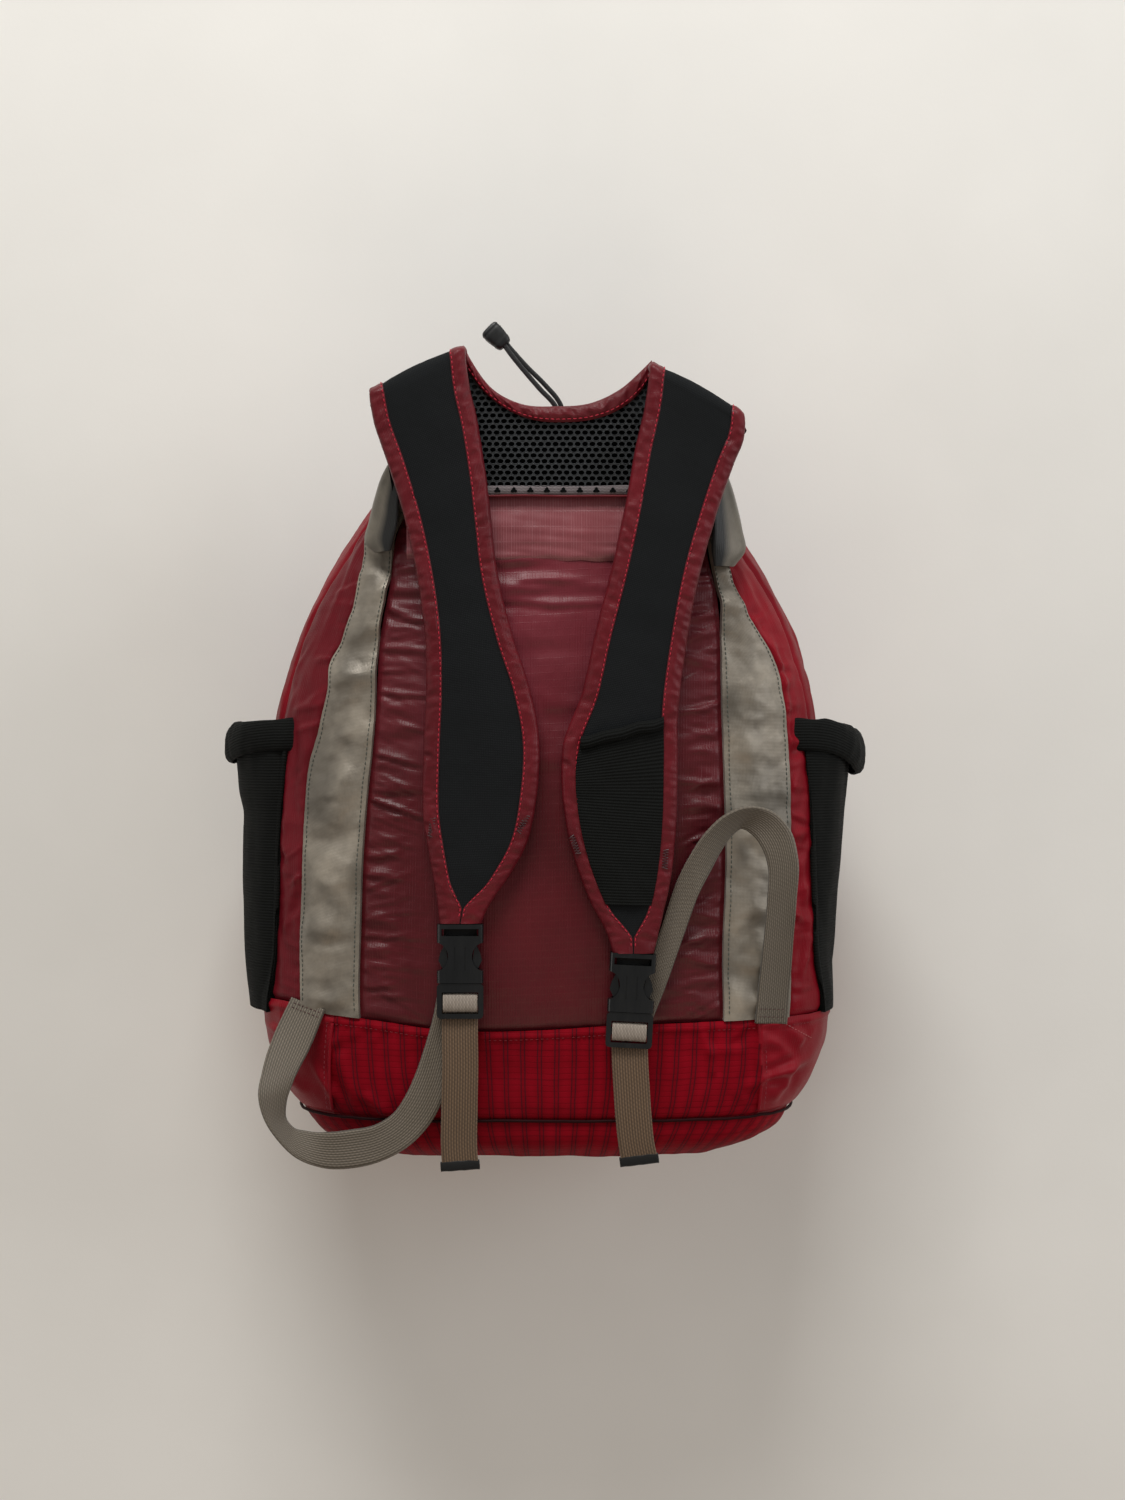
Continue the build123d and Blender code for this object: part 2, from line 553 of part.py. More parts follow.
def latch_arm(sign):
    """Spring arm: rounded root in the frame, slender beam, button in the window."""
    root_x, root_z = sign * ARM_X, LATCH_Z - 2.0
    root = Solid.make_cylinder(1.7, 4.4, Plane(origin=(root_x, -2.2, root_z), z_dir=(0, 1, 0)))
    inner = [(root_x + sign * x, root_z + z) for x, z in ARM_INNER]
    outer_edge = [(root_x + sign * x, root_z + z) for x, z in ARM_OUTER]
    outline = [inner, *segments([inner[-1], *outer_edge[::-1], inner[0]])]
    return prism(outline, -2.1, 2.1) + root


def webbing_wrap():
    """Loop of webbing around the middle bar of the ladder."""
    bar_z0, bar_z1 = LOWER_SLOT[1], UPPER_SLOT[0]
    loop = block(-WEB_W / 2, WEB_W / 2, -3.2, 5.1,
                 bar_z0 - WEB_T - 0.1, bar_z1 + WEB_T + 0.1)
    return loop - block(-11, 11, -1.45, 3.65, bar_z0 - 0.05, bar_z1 + 0.05)


def webbing_tail(length):
    return block(-WEB_W / 2, WEB_W / 2, TAIL_Y - WEB_T / 2, TAIL_Y + WEB_T / 2,
                 TAIL_TOP - length, TAIL_TOP)


def tail_end(length):
    """Thicker end just below the tail."""
    half_w, tail_z0 = WEB_W / 2 + 0.6, TAIL_TOP - length
    return block(-half_w, half_w, TAIL_Y - 2.0, TAIL_Y + 2.0, tail_z0 - 5.2, tail_z0 - 0.05)


def buckle(x, z_top, tilt, tail_length, tag):
    place = Pos(x, BUCKLE_MID_Y, z_top) * Rot(0, tilt, 0)
    save(place * buckle_socket(), f"buckle_socket_{tag}")
    save(place * latch_frame(), f"latch_frame_{tag}")
    for sign in (1, -1):
        side = "outer" if sign * x > 0 else "inner"
        save(place * latch_arm(sign), f"latch_arm_{side}_{tag}")
    save(place * webbing_wrap(), f"webbing_wrap_{tag}")
    save(place * webbing_tail(tail_length), f"webbing_tail_{tag}")
    save(place * tail_end(tail_length), f"tail_end_{tag}")


buckle(x=-48.4, z_top=140.6, tilt=0.0, tail_length=77.5, tag="left")
buckle(x=50.4, z_top=123.9, tilt=3.0, tail_length=60.5, tag="right")

# ---------------------------------------------------------------- webbing loops
# Flat loops just behind the back panel, edges as (x, z) from the side towards the middle:
# the left one sags down to the base, the right one arches up.
LOOP_Y = -90.6
LOOP_LEFT_OUT = [
    (-148.8, 94.5), (-157.4, 75.8), (-163.1, 55.1), (-162.2, 39.0), (-154.2, 21.3),
    (-143.0, 8.5), (-126.9, 1.4), (-110.9, 1.4), (-94.8, 5.5), (-78.7, 14.3),
    (-65.5, 26.4), (-58.0, 42.0), (-52.0, 62.0), (-47.0, 83.0)]
LOOP_LEFT_IN = [
    (-126.9, 90.0), (-136.7, 66.3), (-141.5, 52.0), (-143.0, 40.0), (-138.0, 29.0),
    (-128.0, 23.5), (-110.9, 22.0), (-96.8, 25.0), (-86.0, 33.0), (-78.0, 47.4),
    (-72.0, 65.8), (-67.0, 83.0)]
LOOP_RIGHT_OUT = [
    (141.6, 84.0), (143.6, 120.0), (145.1, 149.3), (145.6, 178.3), (140.3, 195.5),
    (131.1, 205.0), (119.4, 208.0), (106.7, 205.0), (94.7, 196.9), (82.4, 180.3),
    (73.2, 162.8), (67.6, 141.8), (63.7, 118.0), (61.0, 98.0), (60.5, 84.0)]
LOOP_RIGHT_IN = [
    (121.6, 84.0), (123.4, 120.0), (125.2, 149.3), (126.2, 168.3), (124.0, 180.0),
    (117.5, 186.5), (110.0, 183.5), (101.0, 173.0), (92.4, 156.0), (87.0, 139.8),
    (83.2, 118.0), (81.0, 98.0), (80.5, 84.0)]

for side, out_edge, in_edge in (("left", LOOP_LEFT_OUT, LOOP_LEFT_IN),
                                ("right", LOOP_RIGHT_OUT, LOOP_RIGHT_IN)):
    save(prism(ribbon(out_edge, in_edge), LOOP_Y, LOOP_Y + WEB_T), f"webbing_loop_{side}")
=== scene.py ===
"""A stuffed day pack, standing upright on its base.

The harness side, with the shoulder straps, faces -Y and the zipped front faces +Y. X runs to
the right as seen from the harness side, so "left" is -X, and Z runs up from the base.
Shapes are worked out in millimetres and become metres when a mesh is made.
"""
import bmesh
import bpy
import math
import numpy as np
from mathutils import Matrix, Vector

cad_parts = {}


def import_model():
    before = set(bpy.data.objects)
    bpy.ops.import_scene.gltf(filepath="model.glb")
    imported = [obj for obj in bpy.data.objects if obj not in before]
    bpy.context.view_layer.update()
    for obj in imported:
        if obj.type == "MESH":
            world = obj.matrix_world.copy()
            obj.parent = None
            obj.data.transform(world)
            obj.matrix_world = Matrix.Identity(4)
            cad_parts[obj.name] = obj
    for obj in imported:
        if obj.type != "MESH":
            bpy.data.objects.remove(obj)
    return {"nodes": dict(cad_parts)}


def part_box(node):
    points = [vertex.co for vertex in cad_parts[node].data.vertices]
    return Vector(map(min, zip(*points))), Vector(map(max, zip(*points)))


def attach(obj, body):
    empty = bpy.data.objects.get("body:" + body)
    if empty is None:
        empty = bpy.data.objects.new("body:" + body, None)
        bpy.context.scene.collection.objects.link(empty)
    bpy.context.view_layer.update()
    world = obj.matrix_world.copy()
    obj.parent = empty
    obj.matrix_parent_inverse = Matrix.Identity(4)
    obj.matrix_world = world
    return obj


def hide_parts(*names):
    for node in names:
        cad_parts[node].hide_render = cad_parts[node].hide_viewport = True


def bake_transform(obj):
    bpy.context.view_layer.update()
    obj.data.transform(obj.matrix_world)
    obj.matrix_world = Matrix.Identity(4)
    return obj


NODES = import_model()["nodes"]
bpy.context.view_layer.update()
MM = 0.001
STEP = 1.25          # mesh spacing of the sewn panels
SIDES = ((-1, "left"), (1, "right"))


def steps(full):
    """A segment count; the full count is always returned."""
    return full


# ------------------------------------------------------------------ noise and relief
shuffle = np.tile(np.random.default_rng(5).permutation(256), 3)
directions = np.random.default_rng(6).normal(size=(256, 3))
directions /= np.linalg.norm(directions, axis=1)[:, None]


def pnoise(x, y, z=0.0):
    """Gradient noise, roughly -1 to 1."""
    point = np.stack(np.broadcast_arrays(*(np.asarray(v, float) for v in (x, y, z))))
    cell = np.floor(point).astype(int)
    part = point - cell
    ease = part * part * part * (part * (part * 6 - 15) + 10)
    cell = cell & 255

    def corner(i, j, k):
        index = shuffle[shuffle[shuffle[cell[0] + i] + cell[1] + j] + cell[2] + k]
        slope = directions[index]
        return (slope[..., 0] * (part[0] - i) + slope[..., 1] * (part[1] - j)
                + slope[..., 2] * (part[2] - k))

    def blend(start, end, amount):
        return start + (end - start) * amount

    def along_x(j, k):
        return blend(corner(0, j, k), corner(1, j, k), ease[0])

    def along_y(k):
        return blend(along_x(0, k), along_x(1, k), ease[1])

    return 1.6 * blend(along_y(0), along_y(1), ease[2])


def fbm(x, y, z=0.0, octaves=3):
    """Layered noise, each layer twice as fine and half as strong."""
    total, strength = 0, 1.0
    for i in range(octaves):
        total = total + strength * pnoise(x * 2 ** i, y * 2 ** i, z + 7.3 * i)
        strength *= 0.5
    return total


def ridge(x, y, z=0.0):
    """Noise with sharp crests."""
    return (1 - np.abs(pnoise(x, y, z)) * 2.2).clip(-1, 1)


def smooth(start, end, x):
    """Eased step from 0 at start to 1 at end; start may be the larger."""
    t = np.clip((np.asarray(x, float) - start) / (end - start), 0, 1)
    return t * t * (3 - 2 * t)


def stamp(u, v, creases):
    """Height of tapered creases. Each crease: u, v, angle, length, width, height."""
    height = np.zeros_like(u)
    for start_u, start_v, angle, length, width, rise in creases:
        c, s = math.cos(angle), math.sin(angle)
        du, dv = u - start_u, v - start_v
        along = (du * c + dv * s) / length
        across = (-du * s + dv * c) / width
        across = across + 0.35 * np.sin(along * 4.0 + start_u)
        profile = np.exp(-across * across) - 0.55 * np.exp(-(across + 1.5) ** 2 * 0.9)
        taper = smooth(-0.12, 0.10, along) * (1 - smooth(0.35, 1.0, along))
        height += rise * profile * taper
    return height


def random_creases(random, count, *ranges):
    """Creases for stamp, each value drawn from its own range."""
    return [tuple(random.uniform(*limits) for limits in ranges) for _ in range(count)]


# ------------------------------------------------------------------ curves
def xyz(x, y, z):
    """Points from coordinate arrays of matching or single size."""
    return np.stack(np.broadcast_arrays(x, y, z), -1)


def path_length(points):
    """Distance along a path at each of its points."""
    return np.concatenate([[0], np.cumsum(np.linalg.norm(np.diff(points, axis=0), axis=1))])


def hermite(stations, values, x):
    """Smooth curve through the values at the stations, sampled at x."""
    slopes = np.gradient(values, stations, axis=0)
    k = np.clip(np.searchsorted(stations, x, side="right") - 1, 0, len(stations) - 2)
    gap = stations[k + 1] - stations[k]
    t = (x - stations[k]) / gap
    shape = t.shape + (1,) * (values.ndim - 1)
    gap, t = gap.reshape(shape), t.reshape(shape)
    return ((2 * t ** 3 - 3 * t ** 2 + 1) * values[k]
            + (t ** 3 - 2 * t ** 2 + t) * gap * slopes[k]
            + (-2 * t ** 3 + 3 * t ** 2) * values[k + 1]
            + (t ** 3 - t ** 2) * gap * slopes[k + 1])


def resample(points, count):
    """Smooth curve through the points, sampled evenly by length."""
    points = np.asarray(points, float)
    length = path_length(points)
    return hermite(length, points, np.linspace(0, length[-1], count))


def table(pairs, x):
    """Smooth interpolation of (x, value) pairs, held at both ends."""
    pairs = np.asarray(pairs, float)
    return hermite(pairs[:, 0], pairs[:, 1], np.clip(np.asarray(x, float), *pairs[[0, -1], 0]))


# ------------------------------------------------------------------ meshes
def mesh_object(name, verts, faces, uv=None, shade=True):
    mesh = bpy.data.meshes.new(name)
    mesh.from_pydata([tuple(v) for v in (np.asarray(verts) * MM)], [], faces)
    if uv is not None:
        layer = mesh.uv_layers.new(name="UVMap")
        loops = np.empty(len(mesh.loops), dtype=np.int32)
        mesh.loops.foreach_get("vertex_index", loops)
        layer.data.foreach_set("uv", np.asarray(uv, np.float32)[loops].ravel())
    if shade:
        mesh.polygons.foreach_set("use_smooth", [True] * len(mesh.polygons))
    mesh.update()
    obj = bpy.data.objects.new(name, mesh)
    bpy.context.scene.collection.objects.link(obj)
    return obj


def grid_faces(row_count, col_count, closed=False, flip=False):
    j = np.arange(row_count - 1)[:, None]
    i = np.arange(col_count if closed else col_count - 1)[None, :]
    after = (i + 1) % col_count
    corners = [j * col_count + i, j * col_count + after,
               (j + 1) * col_count + after, (j + 1) * col_count + i]
    if flip:
        corners = [corners[0], corners[3], corners[2], corners[1]]
    return np.stack(corners, -1).reshape(-1, 4).tolist()


def tube_faces(ring_count, sides, capped=True):
    faces = grid_faces(ring_count, sides, closed=True)
    if capped:
        faces.append(list(range(sides))[::-1])
        faces.append([(ring_count - 1) * sides + k for k in range(sides)])
    return faces


def copied_faces(faces, verts, size):
    """The faces repeated for every group of size vertices."""
    return [[first + i for i in face] for first in range(0, len(verts), size) for face in faces]


def grid_object(name, points, uv=None, closed=False, flip=False):
    """A sheet from rows by columns of points."""
    if uv is not None:
        uv = uv.reshape(-1, 2)
    faces = grid_faces(*points.shape[:2], closed, flip)
    return mesh_object(name, points.reshape(-1, 3), faces, uv)


def small_parts(name, verts, faces, size, shade=True):
    """Many copies of one small shape in a single mesh, mapped by x and z."""
    verts = np.asarray(verts)
    return mesh_object(name, verts, copied_faces(faces, verts, size), verts[:, ::2], shade)


def grid_normals(points):
    normals = np.cross(np.gradient(points, axis=1), np.gradient(points, axis=0))
    return normals / np.maximum(np.linalg.norm(normals, axis=-1, keepdims=True), 1e-9)


def metric_uv(points):
    """Lengths along the rows and the columns of a grid; u is centred."""
    du = np.linalg.norm(np.diff(points, axis=1), axis=-1)
    u = np.concatenate([np.zeros((points.shape[0], 1)), np.cumsum(du, 1)], 1)
    dv = np.linalg.norm(np.diff(points, axis=0), axis=-1)
    v = np.concatenate([np.zeros((1, points.shape[1])), np.cumsum(dv, 0)], 0)
    return np.stack([u - u.mean(1, keepdims=True), v], -1)


def drop_faces(obj, cut):
    """Deletes the faces whose centre, in mm, satisfies cut."""
    bm = bmesh.new()
    bm.from_mesh(obj.data)
    doomed = [f for f in bm.faces if cut(np.array(f.calc_center_median()) * 1000)]
    bmesh.ops.delete(bm, geom=doomed, context="FACES")
    bm.to_mesh(obj.data)
    bm.free()
    obj.data.update()


def select_only(objects):
    bpy.ops.object.select_all(action="DESELECT")
    for obj in objects:
        obj.select_set(True)
    bpy.context.view_layer.objects.active = objects[0]


def join(objects):
    select_only(objects)
    bpy.ops.object.join()
    return objects[0]


def solidify(obj, thickness, offset=-1.0):
    modifier = obj.modifiers.new("thick", "SOLIDIFY")
    modifier.thickness = thickness * MM
    modifier.offset = offset


def dress(obj, material, body=None, replaces=()):
    """Gives a piece its material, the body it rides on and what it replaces."""
    obj.data.materials.clear()
    obj.data.materials.append(material)
    if body:
        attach(obj, body)
    if replaces:
        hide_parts(*replaces)
    return obj


# ------------------------------------------------------------------ material toolkit
def gain(colour, factor):
    """The colour scaled, with an alpha of 1."""
    return tuple(min(1.0, channel * factor) for channel in colour[:3]) + (1.0,)


def srgb(red, green, blue, level=1.22):
    """Linear colour from 8-bit sRGB, brightened by level."""
    linear = [v / 12.92 if v <= 0.04045 else ((v + 0.055) / 1.055) ** 2.4
              for v in (red / 255, green / 255, blue / 255)]
    return gain(linear, level)


class Material:
    """Wires a procedural material. UV coordinates are in mm, object ones in metres."""

    def __init__(self, name):
        self.material = bpy.data.materials.new(name)
        self.material.use_nodes = True
        self.tree = self.material.node_tree
        self.tree.nodes.clear()
        self.output = self.node("ShaderNodeOutputMaterial")
        self.shader = self.node("ShaderNodeBsdfPrincipled")
        self.feed(self.shader.outputs[0], self.output.inputs[0])
        self.coords = self.node("ShaderNodeTexCoord")

    def node(self, kind, **settings):
        node = self.tree.nodes.new(kind)
        for key, value in settings.items():
            setattr(node, key, value)
        return node

    def feed(self, value, socket):
        """Sets a plain value on a socket, or links another socket to it."""
        if isinstance(value, (int, float, tuple)):
            socket.default_value = value
        else:
            self.tree.links.new(value, socket)

    def math(self, operation, *values, clamp=False):
        node = self.node("ShaderNodeMath", operation=operation, use_clamp=clamp)
        for value, socket in zip(values, node.inputs):
            self.feed(value, socket)
        return node.outputs[0]

    def add(self, first, second):
        return self.math("ADD", first, second)

    def times(self, first, second):
        return self.math("MULTIPLY", first, second)

    def split(self, space="UV"):
        node = self.node("ShaderNodeSeparateXYZ")
        self.feed(self.coords.outputs[space], node.inputs[0])
        return tuple(node.outputs)

    def noise(self, scale, detail, roughness, space="Object", stretch=None):
        node = self.node("ShaderNodeTexNoise")
        node.inputs["Scale"].default_value = scale
        node.inputs["Detail"].default_value = detail
        node.inputs["Roughness"].default_value = roughness
        source = self.coords.outputs[space]
        if stretch:
            mapping = self.node("ShaderNodeMapping")
            mapping.inputs["Scale"].default_value = stretch
            self.feed(source, mapping.inputs[0])
            source = mapping.outputs[0]
        self.feed(source, node.inputs["Vector"])
        return node.outputs[0]

    def uv_noise(self, per_mm, detail, roughness):
        """Noise over the cloth, with its frequency across and along."""
        return self.noise(1.0, detail, roughness, "UV", (*per_mm, 1))

    def remap(self, value, source=(0.3, 0.7), to=(0.0, 1.0)):
        """Maps the source range linearly, and clamped, onto the target range."""
        node = self.node("ShaderNodeMapRange")
        node.inputs["From Min"].default_value = source[0]
        node.inputs["From Max"].default_value = source[1]
        node.inputs["To Min"].default_value = to[0]
        node.inputs["To Max"].default_value = to[1]
        self.feed(value, node.inputs[0])
        return node.outputs[0]

    def mix(self, amount, first, second):
        node = self.node("ShaderNodeMix", data_type="RGBA")
        for value, index in ((amount, 0), (first, 6), (second, 7)):
            self.feed(value, node.inputs[index])
        return node.outputs[2]

    def mottle(self, cloud, colour, low, high):
        """The colour varied between two levels by a noise."""
        return self.mix(self.remap(cloud), gain(colour, low), gain(colour, high))

    def stripes(self, coord, pitch, width, soft):
        """1 on thin lines every pitch, 0 between."""
        part = self.math("FRACT", self.math("DIVIDE", coord, pitch))
        distance = self.math("ABSOLUTE", self.math("SUBTRACT", part, 0.5))
        share = width / pitch
        return self.remap(distance, (0.5 - share * (0.5 + soft), 0.5 - share * (0.5 - soft)))

    def wave(self, coord, pitch):
        """Smooth wave from 0 to 1."""
        sine = self.math("SINE", self.times(coord, 2 * math.pi / pitch))
        return self.math("MULTIPLY_ADD", sine, 0.5, 0.5)

    def finish(self, colour, roughness, height, distance, strength, specular, **more):
        """Feeds the shader; height, distance (m) and strength make the bump."""
        bump = self.node("ShaderNodeBump")
        bump.inputs["Distance"].default_value = distance
        bump.inputs["Strength"].default_value = strength
        self.feed(height, bump.inputs["Height"])
        inputs = dict(Base_Color=colour, Roughness=roughness, Normal=bump.outputs[0],
                      Specular_IOR_Level=specular, **more)
        for key, value in inputs.items():
            self.feed(value, self.shader.inputs[key.replace("_", " ")])
        return self.material


# ------------------------------------------------------------------ material kinds
def nylon(name, colour, rough, line, spec=0.5, vary=0.18, line_pitch=1.55, cross_pitch=4.2,
          bright=None, painted_light_colour=None):
    """Thin ripstop. line: strength of the thread grid; vary: clouding; painted_light_colour:
    paler colour painted high up as a highlight.
    """
    mat = Material(name)
    u, v, _ = mat.split()
    thread_noise = mat.uv_noise((0.9, 0.02), detail=2, roughness=0.6)
    upright = mat.stripes(u, line_pitch, width=0.42, soft=0.3)
    level = mat.stripes(v, cross_pitch, width=0.42, soft=0.3)
    upright = mat.times(upright, mat.remap(thread_noise, (0.35, 0.65), to=(0.15, 1.0)))
    grid = mat.math("MAXIMUM", upright, mat.times(level, 0.5))
    cloud = mat.noise(scale=14, detail=4, roughness=0.6)
    base = mat.mottle(cloud, colour, 1 - vary, 1 + vary)
    if painted_light_colour:
        # Painted highlight: paler cloth high up between the straps.
        x, _, z = mat.split("Object")
        ragged = mat.remap(mat.noise(scale=22, detail=3, roughness=0.6), to=(-1.0, 1.0))
        high = mat.remap(mat.add(z, mat.times(ragged, 0.016)), (0.205, 0.300))
        middle = mat.remap(mat.math("ABSOLUTE", x), (0.045, 0.078), to=(1.0, 0.35))
        painted_light = mat.mottle(cloud, painted_light_colour, 1 - vary, 1 + vary)
        base = mat.mix(mat.math("MULTIPLY", high, middle, clamp=True), base, painted_light)
    base = mat.mix(mat.times(grid, line), base, bright or gain(colour, 2.2))
    fine = mat.uv_noise((2.2, 2.2), detail=2, roughness=0.5)
    height = mat.add(mat.times(grid, 0.6), mat.times(fine, 0.4))
    patches = mat.noise(scale=40, detail=3, roughness=0.6)
    return mat.finish(base, mat.remap(patches, to=(rough - 0.06, rough + 0.08)), height,
                      distance=0.0002, strength=0.75, specular=spec, Sheen_Roughness=0.4)


def boot_cloth(name, colour):
    """Coarse grid cloth: pairs of dark lines every 10 mm, cross threads every 3.4 mm."""
    mat = Material(name)
    u, v, _ = mat.split()
    drift = mat.uv_noise((0.03, 0.03), detail=2, roughness=0.5)
    u = mat.add(u, mat.times(drift, 2.2))
    v = mat.add(v, mat.times(drift, 3.0))
    first = mat.stripes(u, pitch=10, width=0.75, soft=0.25)
    second = mat.stripes(mat.add(u, 2.3), pitch=10, width=0.75, soft=0.25)
    pairs = mat.math("MAXIMUM", first, second)
    rows = mat.stripes(v, pitch=3.4, width=0.6, soft=0.35)
    wide_rows = mat.stripes(v, pitch=17, width=1.3, soft=0.3)
    broad = mat.wave(mat.add(u, 3.4), pitch=10)
    fine = mat.uv_noise((1.4, 1.4), detail=3, roughness=0.6)
    blotch = mat.noise(scale=9, detail=4, roughness=0.6)
    base = mat.mottle(blotch, colour, 0.74, 1.22)
    base = mat.mix(mat.times(broad, 0.34), base, gain(colour, 0.45))
    row_strength = mat.times(mat.times(rows, 0.36), mat.remap(fine, to=(0.3, 1.0)))
    base = mat.mix(row_strength, base, gain(colour, 0.40))
    base = mat.mix(mat.times(wide_rows, 0.25), base, gain(colour, 0.42))
    pair_strength = mat.times(pairs, mat.remap(fine, to=(0.5, 0.85)))
    base = mat.mix(pair_strength, base, (0.025, 0.006, 0.010, 1))
    grooves = mat.times(mat.math("MAXIMUM", rows, pairs), -0.6)
    height = mat.add(grooves, mat.times(fine, 0.5))
    return mat.finish(base, mat.remap(fine, to=(0.50, 0.72)), height,
                      distance=0.00018, strength=0.7, specular=0.05)


def weave(name, colour, pitch=0.9, rough=0.82, contrast=0.35, sheen=0.2, spec=0.25):
    """Plain weave cloth. contrast: how much paler the crossings are."""
    mat = Material(name)
    u, v, _ = mat.split()
    crossing = mat.times(mat.wave(u, pitch), mat.wave(v, pitch))
    fuzz = mat.uv_noise((1.7, 1.7), detail=4, roughness=0.7)
    base = mat.mottle(mat.noise(scale=11, detail=4, roughness=0.6), colour, 0.85, 1.15)
    base = mat.mix(mat.times(crossing, contrast), base, gain(colour, 2.1))
    base = mat.mix(mat.remap(fuzz, (0.5, 0.75), to=(0, 0.35)), base, gain(colour, 1.9))
    height = mat.add(mat.times(crossing, 0.7), mat.times(fuzz, 0.5))
    roughness = mat.remap(fuzz, to=(rough - 0.1, min(1.0, rough + 0.1)))
    return mat.finish(base, roughness, height, distance=0.0002, strength=0.8, specular=spec,
                      Sheen_Weight=sheen, Sheen_Roughness=0.5)


def ribbed_webbing(name, colour, rib=1.35):
    """Webbing with lengthwise ribs and a cross pick; u runs across, v along."""
    pick_pitch = 2.4
    mat = Material(name)
    u, v, _ = mat.split()
    ribs = mat.wave(u, rib)
    # The pick is shifted by half a pitch from rib to rib.
    shift = mat.times(mat.math("ROUND", mat.math("DIVIDE", u, rib)), pick_pitch * 0.5)
    pick = mat.wave(mat.add(v, shift), pick_pitch)
    fine = mat.uv_noise((2.0, 0.7), detail=3, roughness=0.6)
    base = mat.mottle(mat.noise(scale=16, detail=4, roughness=0.6), colour, 0.9, 1.1)
    # Painted shade: the valleys between the ribs are darkened.
    valley_shade = mat.times(mat.math("SUBTRACT", 1.0, ribs), 0.72)
    base = mat.mix(valley_shade, base, gain(colour, 0.28))
    base = mat.mix(mat.times(mat.times(pick, ribs), 0.45), base, gain(colour, 1.9))
    detail = mat.add(mat.times(pick, 0.35), mat.times(fine, 0.3))
    height = mat.add(mat.times(ribs, 0.7), detail)
    return mat.finish(base, mat.remap(fine, to=(0.5, 0.72)), height,
                      distance=0.0003, strength=0.9, specular=0.35, Sheen_Weight=0.1)


def ribbed_stretch(name, colour):
    mat = Material(name)
    u, v, _ = mat.split()
    rows = mat.wave(v, pitch=1.7)
    cols = mat.wave(u, pitch=1.1)
    fine = mat.uv_noise((1.2, 1.2), detail=3, roughness=0.6)
    base = mat.mix(mat.times(rows, 0.5), gain(colour, 0.55), gain(colour, 1.7))
    base = mat.mix(mat.remap(fine, (0.45, 0.75), to=(0, 0.4)), base, gain(colour, 2.4))
    height = mat.add(mat.times(rows, 0.8), mat.times(cols, 0.3))
    return mat.finish(base, 0.8, height, distance=0.0004, strength=0.8, specular=0.12)


def coated(name, colour, painted_shade_below=None):
    """Silvery coated cloth, its darker clouds partly painted fold shade; painted_shade_below: u
    range over which painted black shade fades out.
    """
    mat = Material(name)
    u, v, _ = mat.split()
    crossing = mat.times(mat.wave(u, pitch=0.8), mat.wave(v, pitch=0.8))
    cloud = mat.noise(scale=30, detail=5, roughness=0.65)
    specks = mat.noise(scale=90, detail=4, roughness=0.7)
    # The wide range of this cloud mottle is partly painted shade and highlight of the billows.
    base = mat.mottle(cloud, colour, 0.66, 1.34)
    # Painted fold shade: long soft patches darken the cloth.
    soft = mat.noise(scale=38, detail=2, roughness=0.4, stretch=(1, 1, 0.55))
    base = mat.mix(mat.remap(soft, (0.48, 0.64), to=(0, 0.70)), base, gain(colour, 0.42))
    base = mat.mix(mat.remap(specks, (0.5, 0.75), to=(0, 0.35)), base, gain(colour, 0.62))
    # Painted shade: black at low u, where the wing tucks under the strap, fading out across the
    # range.
    if painted_shade_below:
        black = mat.remap(u, painted_shade_below, to=(1.0, 0.0))
        base = mat.mix(black, base, (0.004, 0.004, 0.004, 1))
    height = mat.add(mat.times(crossing, 0.6), mat.times(specks, 0.4))
    return mat.finish(base, mat.remap(cloud, to=(0.34, 0.50)), height, distance=0.0002,
                      strength=0.6, specular=0.45, Metallic=0.30, Sheen_Weight=0.1)


def plastic(name, colour, rough):
    mat = Material(name)
    grain = mat.noise(scale=900, detail=3, roughness=0.6)
    scuffs = mat.noise(scale=60, detail=6, roughness=0.75, stretch=(1, 1, 0.2))
    base = mat.mix(mat.remap(scuffs, (0.35, 0.7)), gain(colour, 0.85), gain(colour, 1.4))
    return mat.finish(base, mat.remap(scuffs, to=(rough - 0.07, rough + 0.14)), grain,
                      distance=0.00004, strength=0.6, specular=0.5)


def braid(name, colour):
    mat = Material(name)
    u, v, _ = mat.split()
    first = mat.wave(mat.add(u, v), pitch=1.3)
    second = mat.wave(mat.math("SUBTRACT", u, v), pitch=1.3)
    strands = mat.math("MAXIMUM", first, second)
    base = mat.mix(strands, gain(colour, 0.5), gain(colour, 1.8))
    return mat.finish(base, 0.6, strands, distance=0.0003, strength=0.9, specular=0.3,
                      Sheen_Weight=0.2)


def thread(name, colour):
    mat = Material(name)
    fibres = mat.noise(scale=2500, detail=2, roughness=0.6)
    return mat.finish(mat.mottle(fibres, colour, 0.7, 1.3), 0.6, fibres, distance=0.0001,
                      strength=0.5, specular=0.3, Sheen_Weight=0.1)


# The maroon cloth is painted paler high up between the straps, as a highlight.
MAROON = nylon("maroon_ripstop", (0.080, 0.0052, 0.0090), rough=0.39, line=0.20, vary=0.20,
               spec=0.29, painted_light_colour=(0.150, 0.0185, 0.0290))
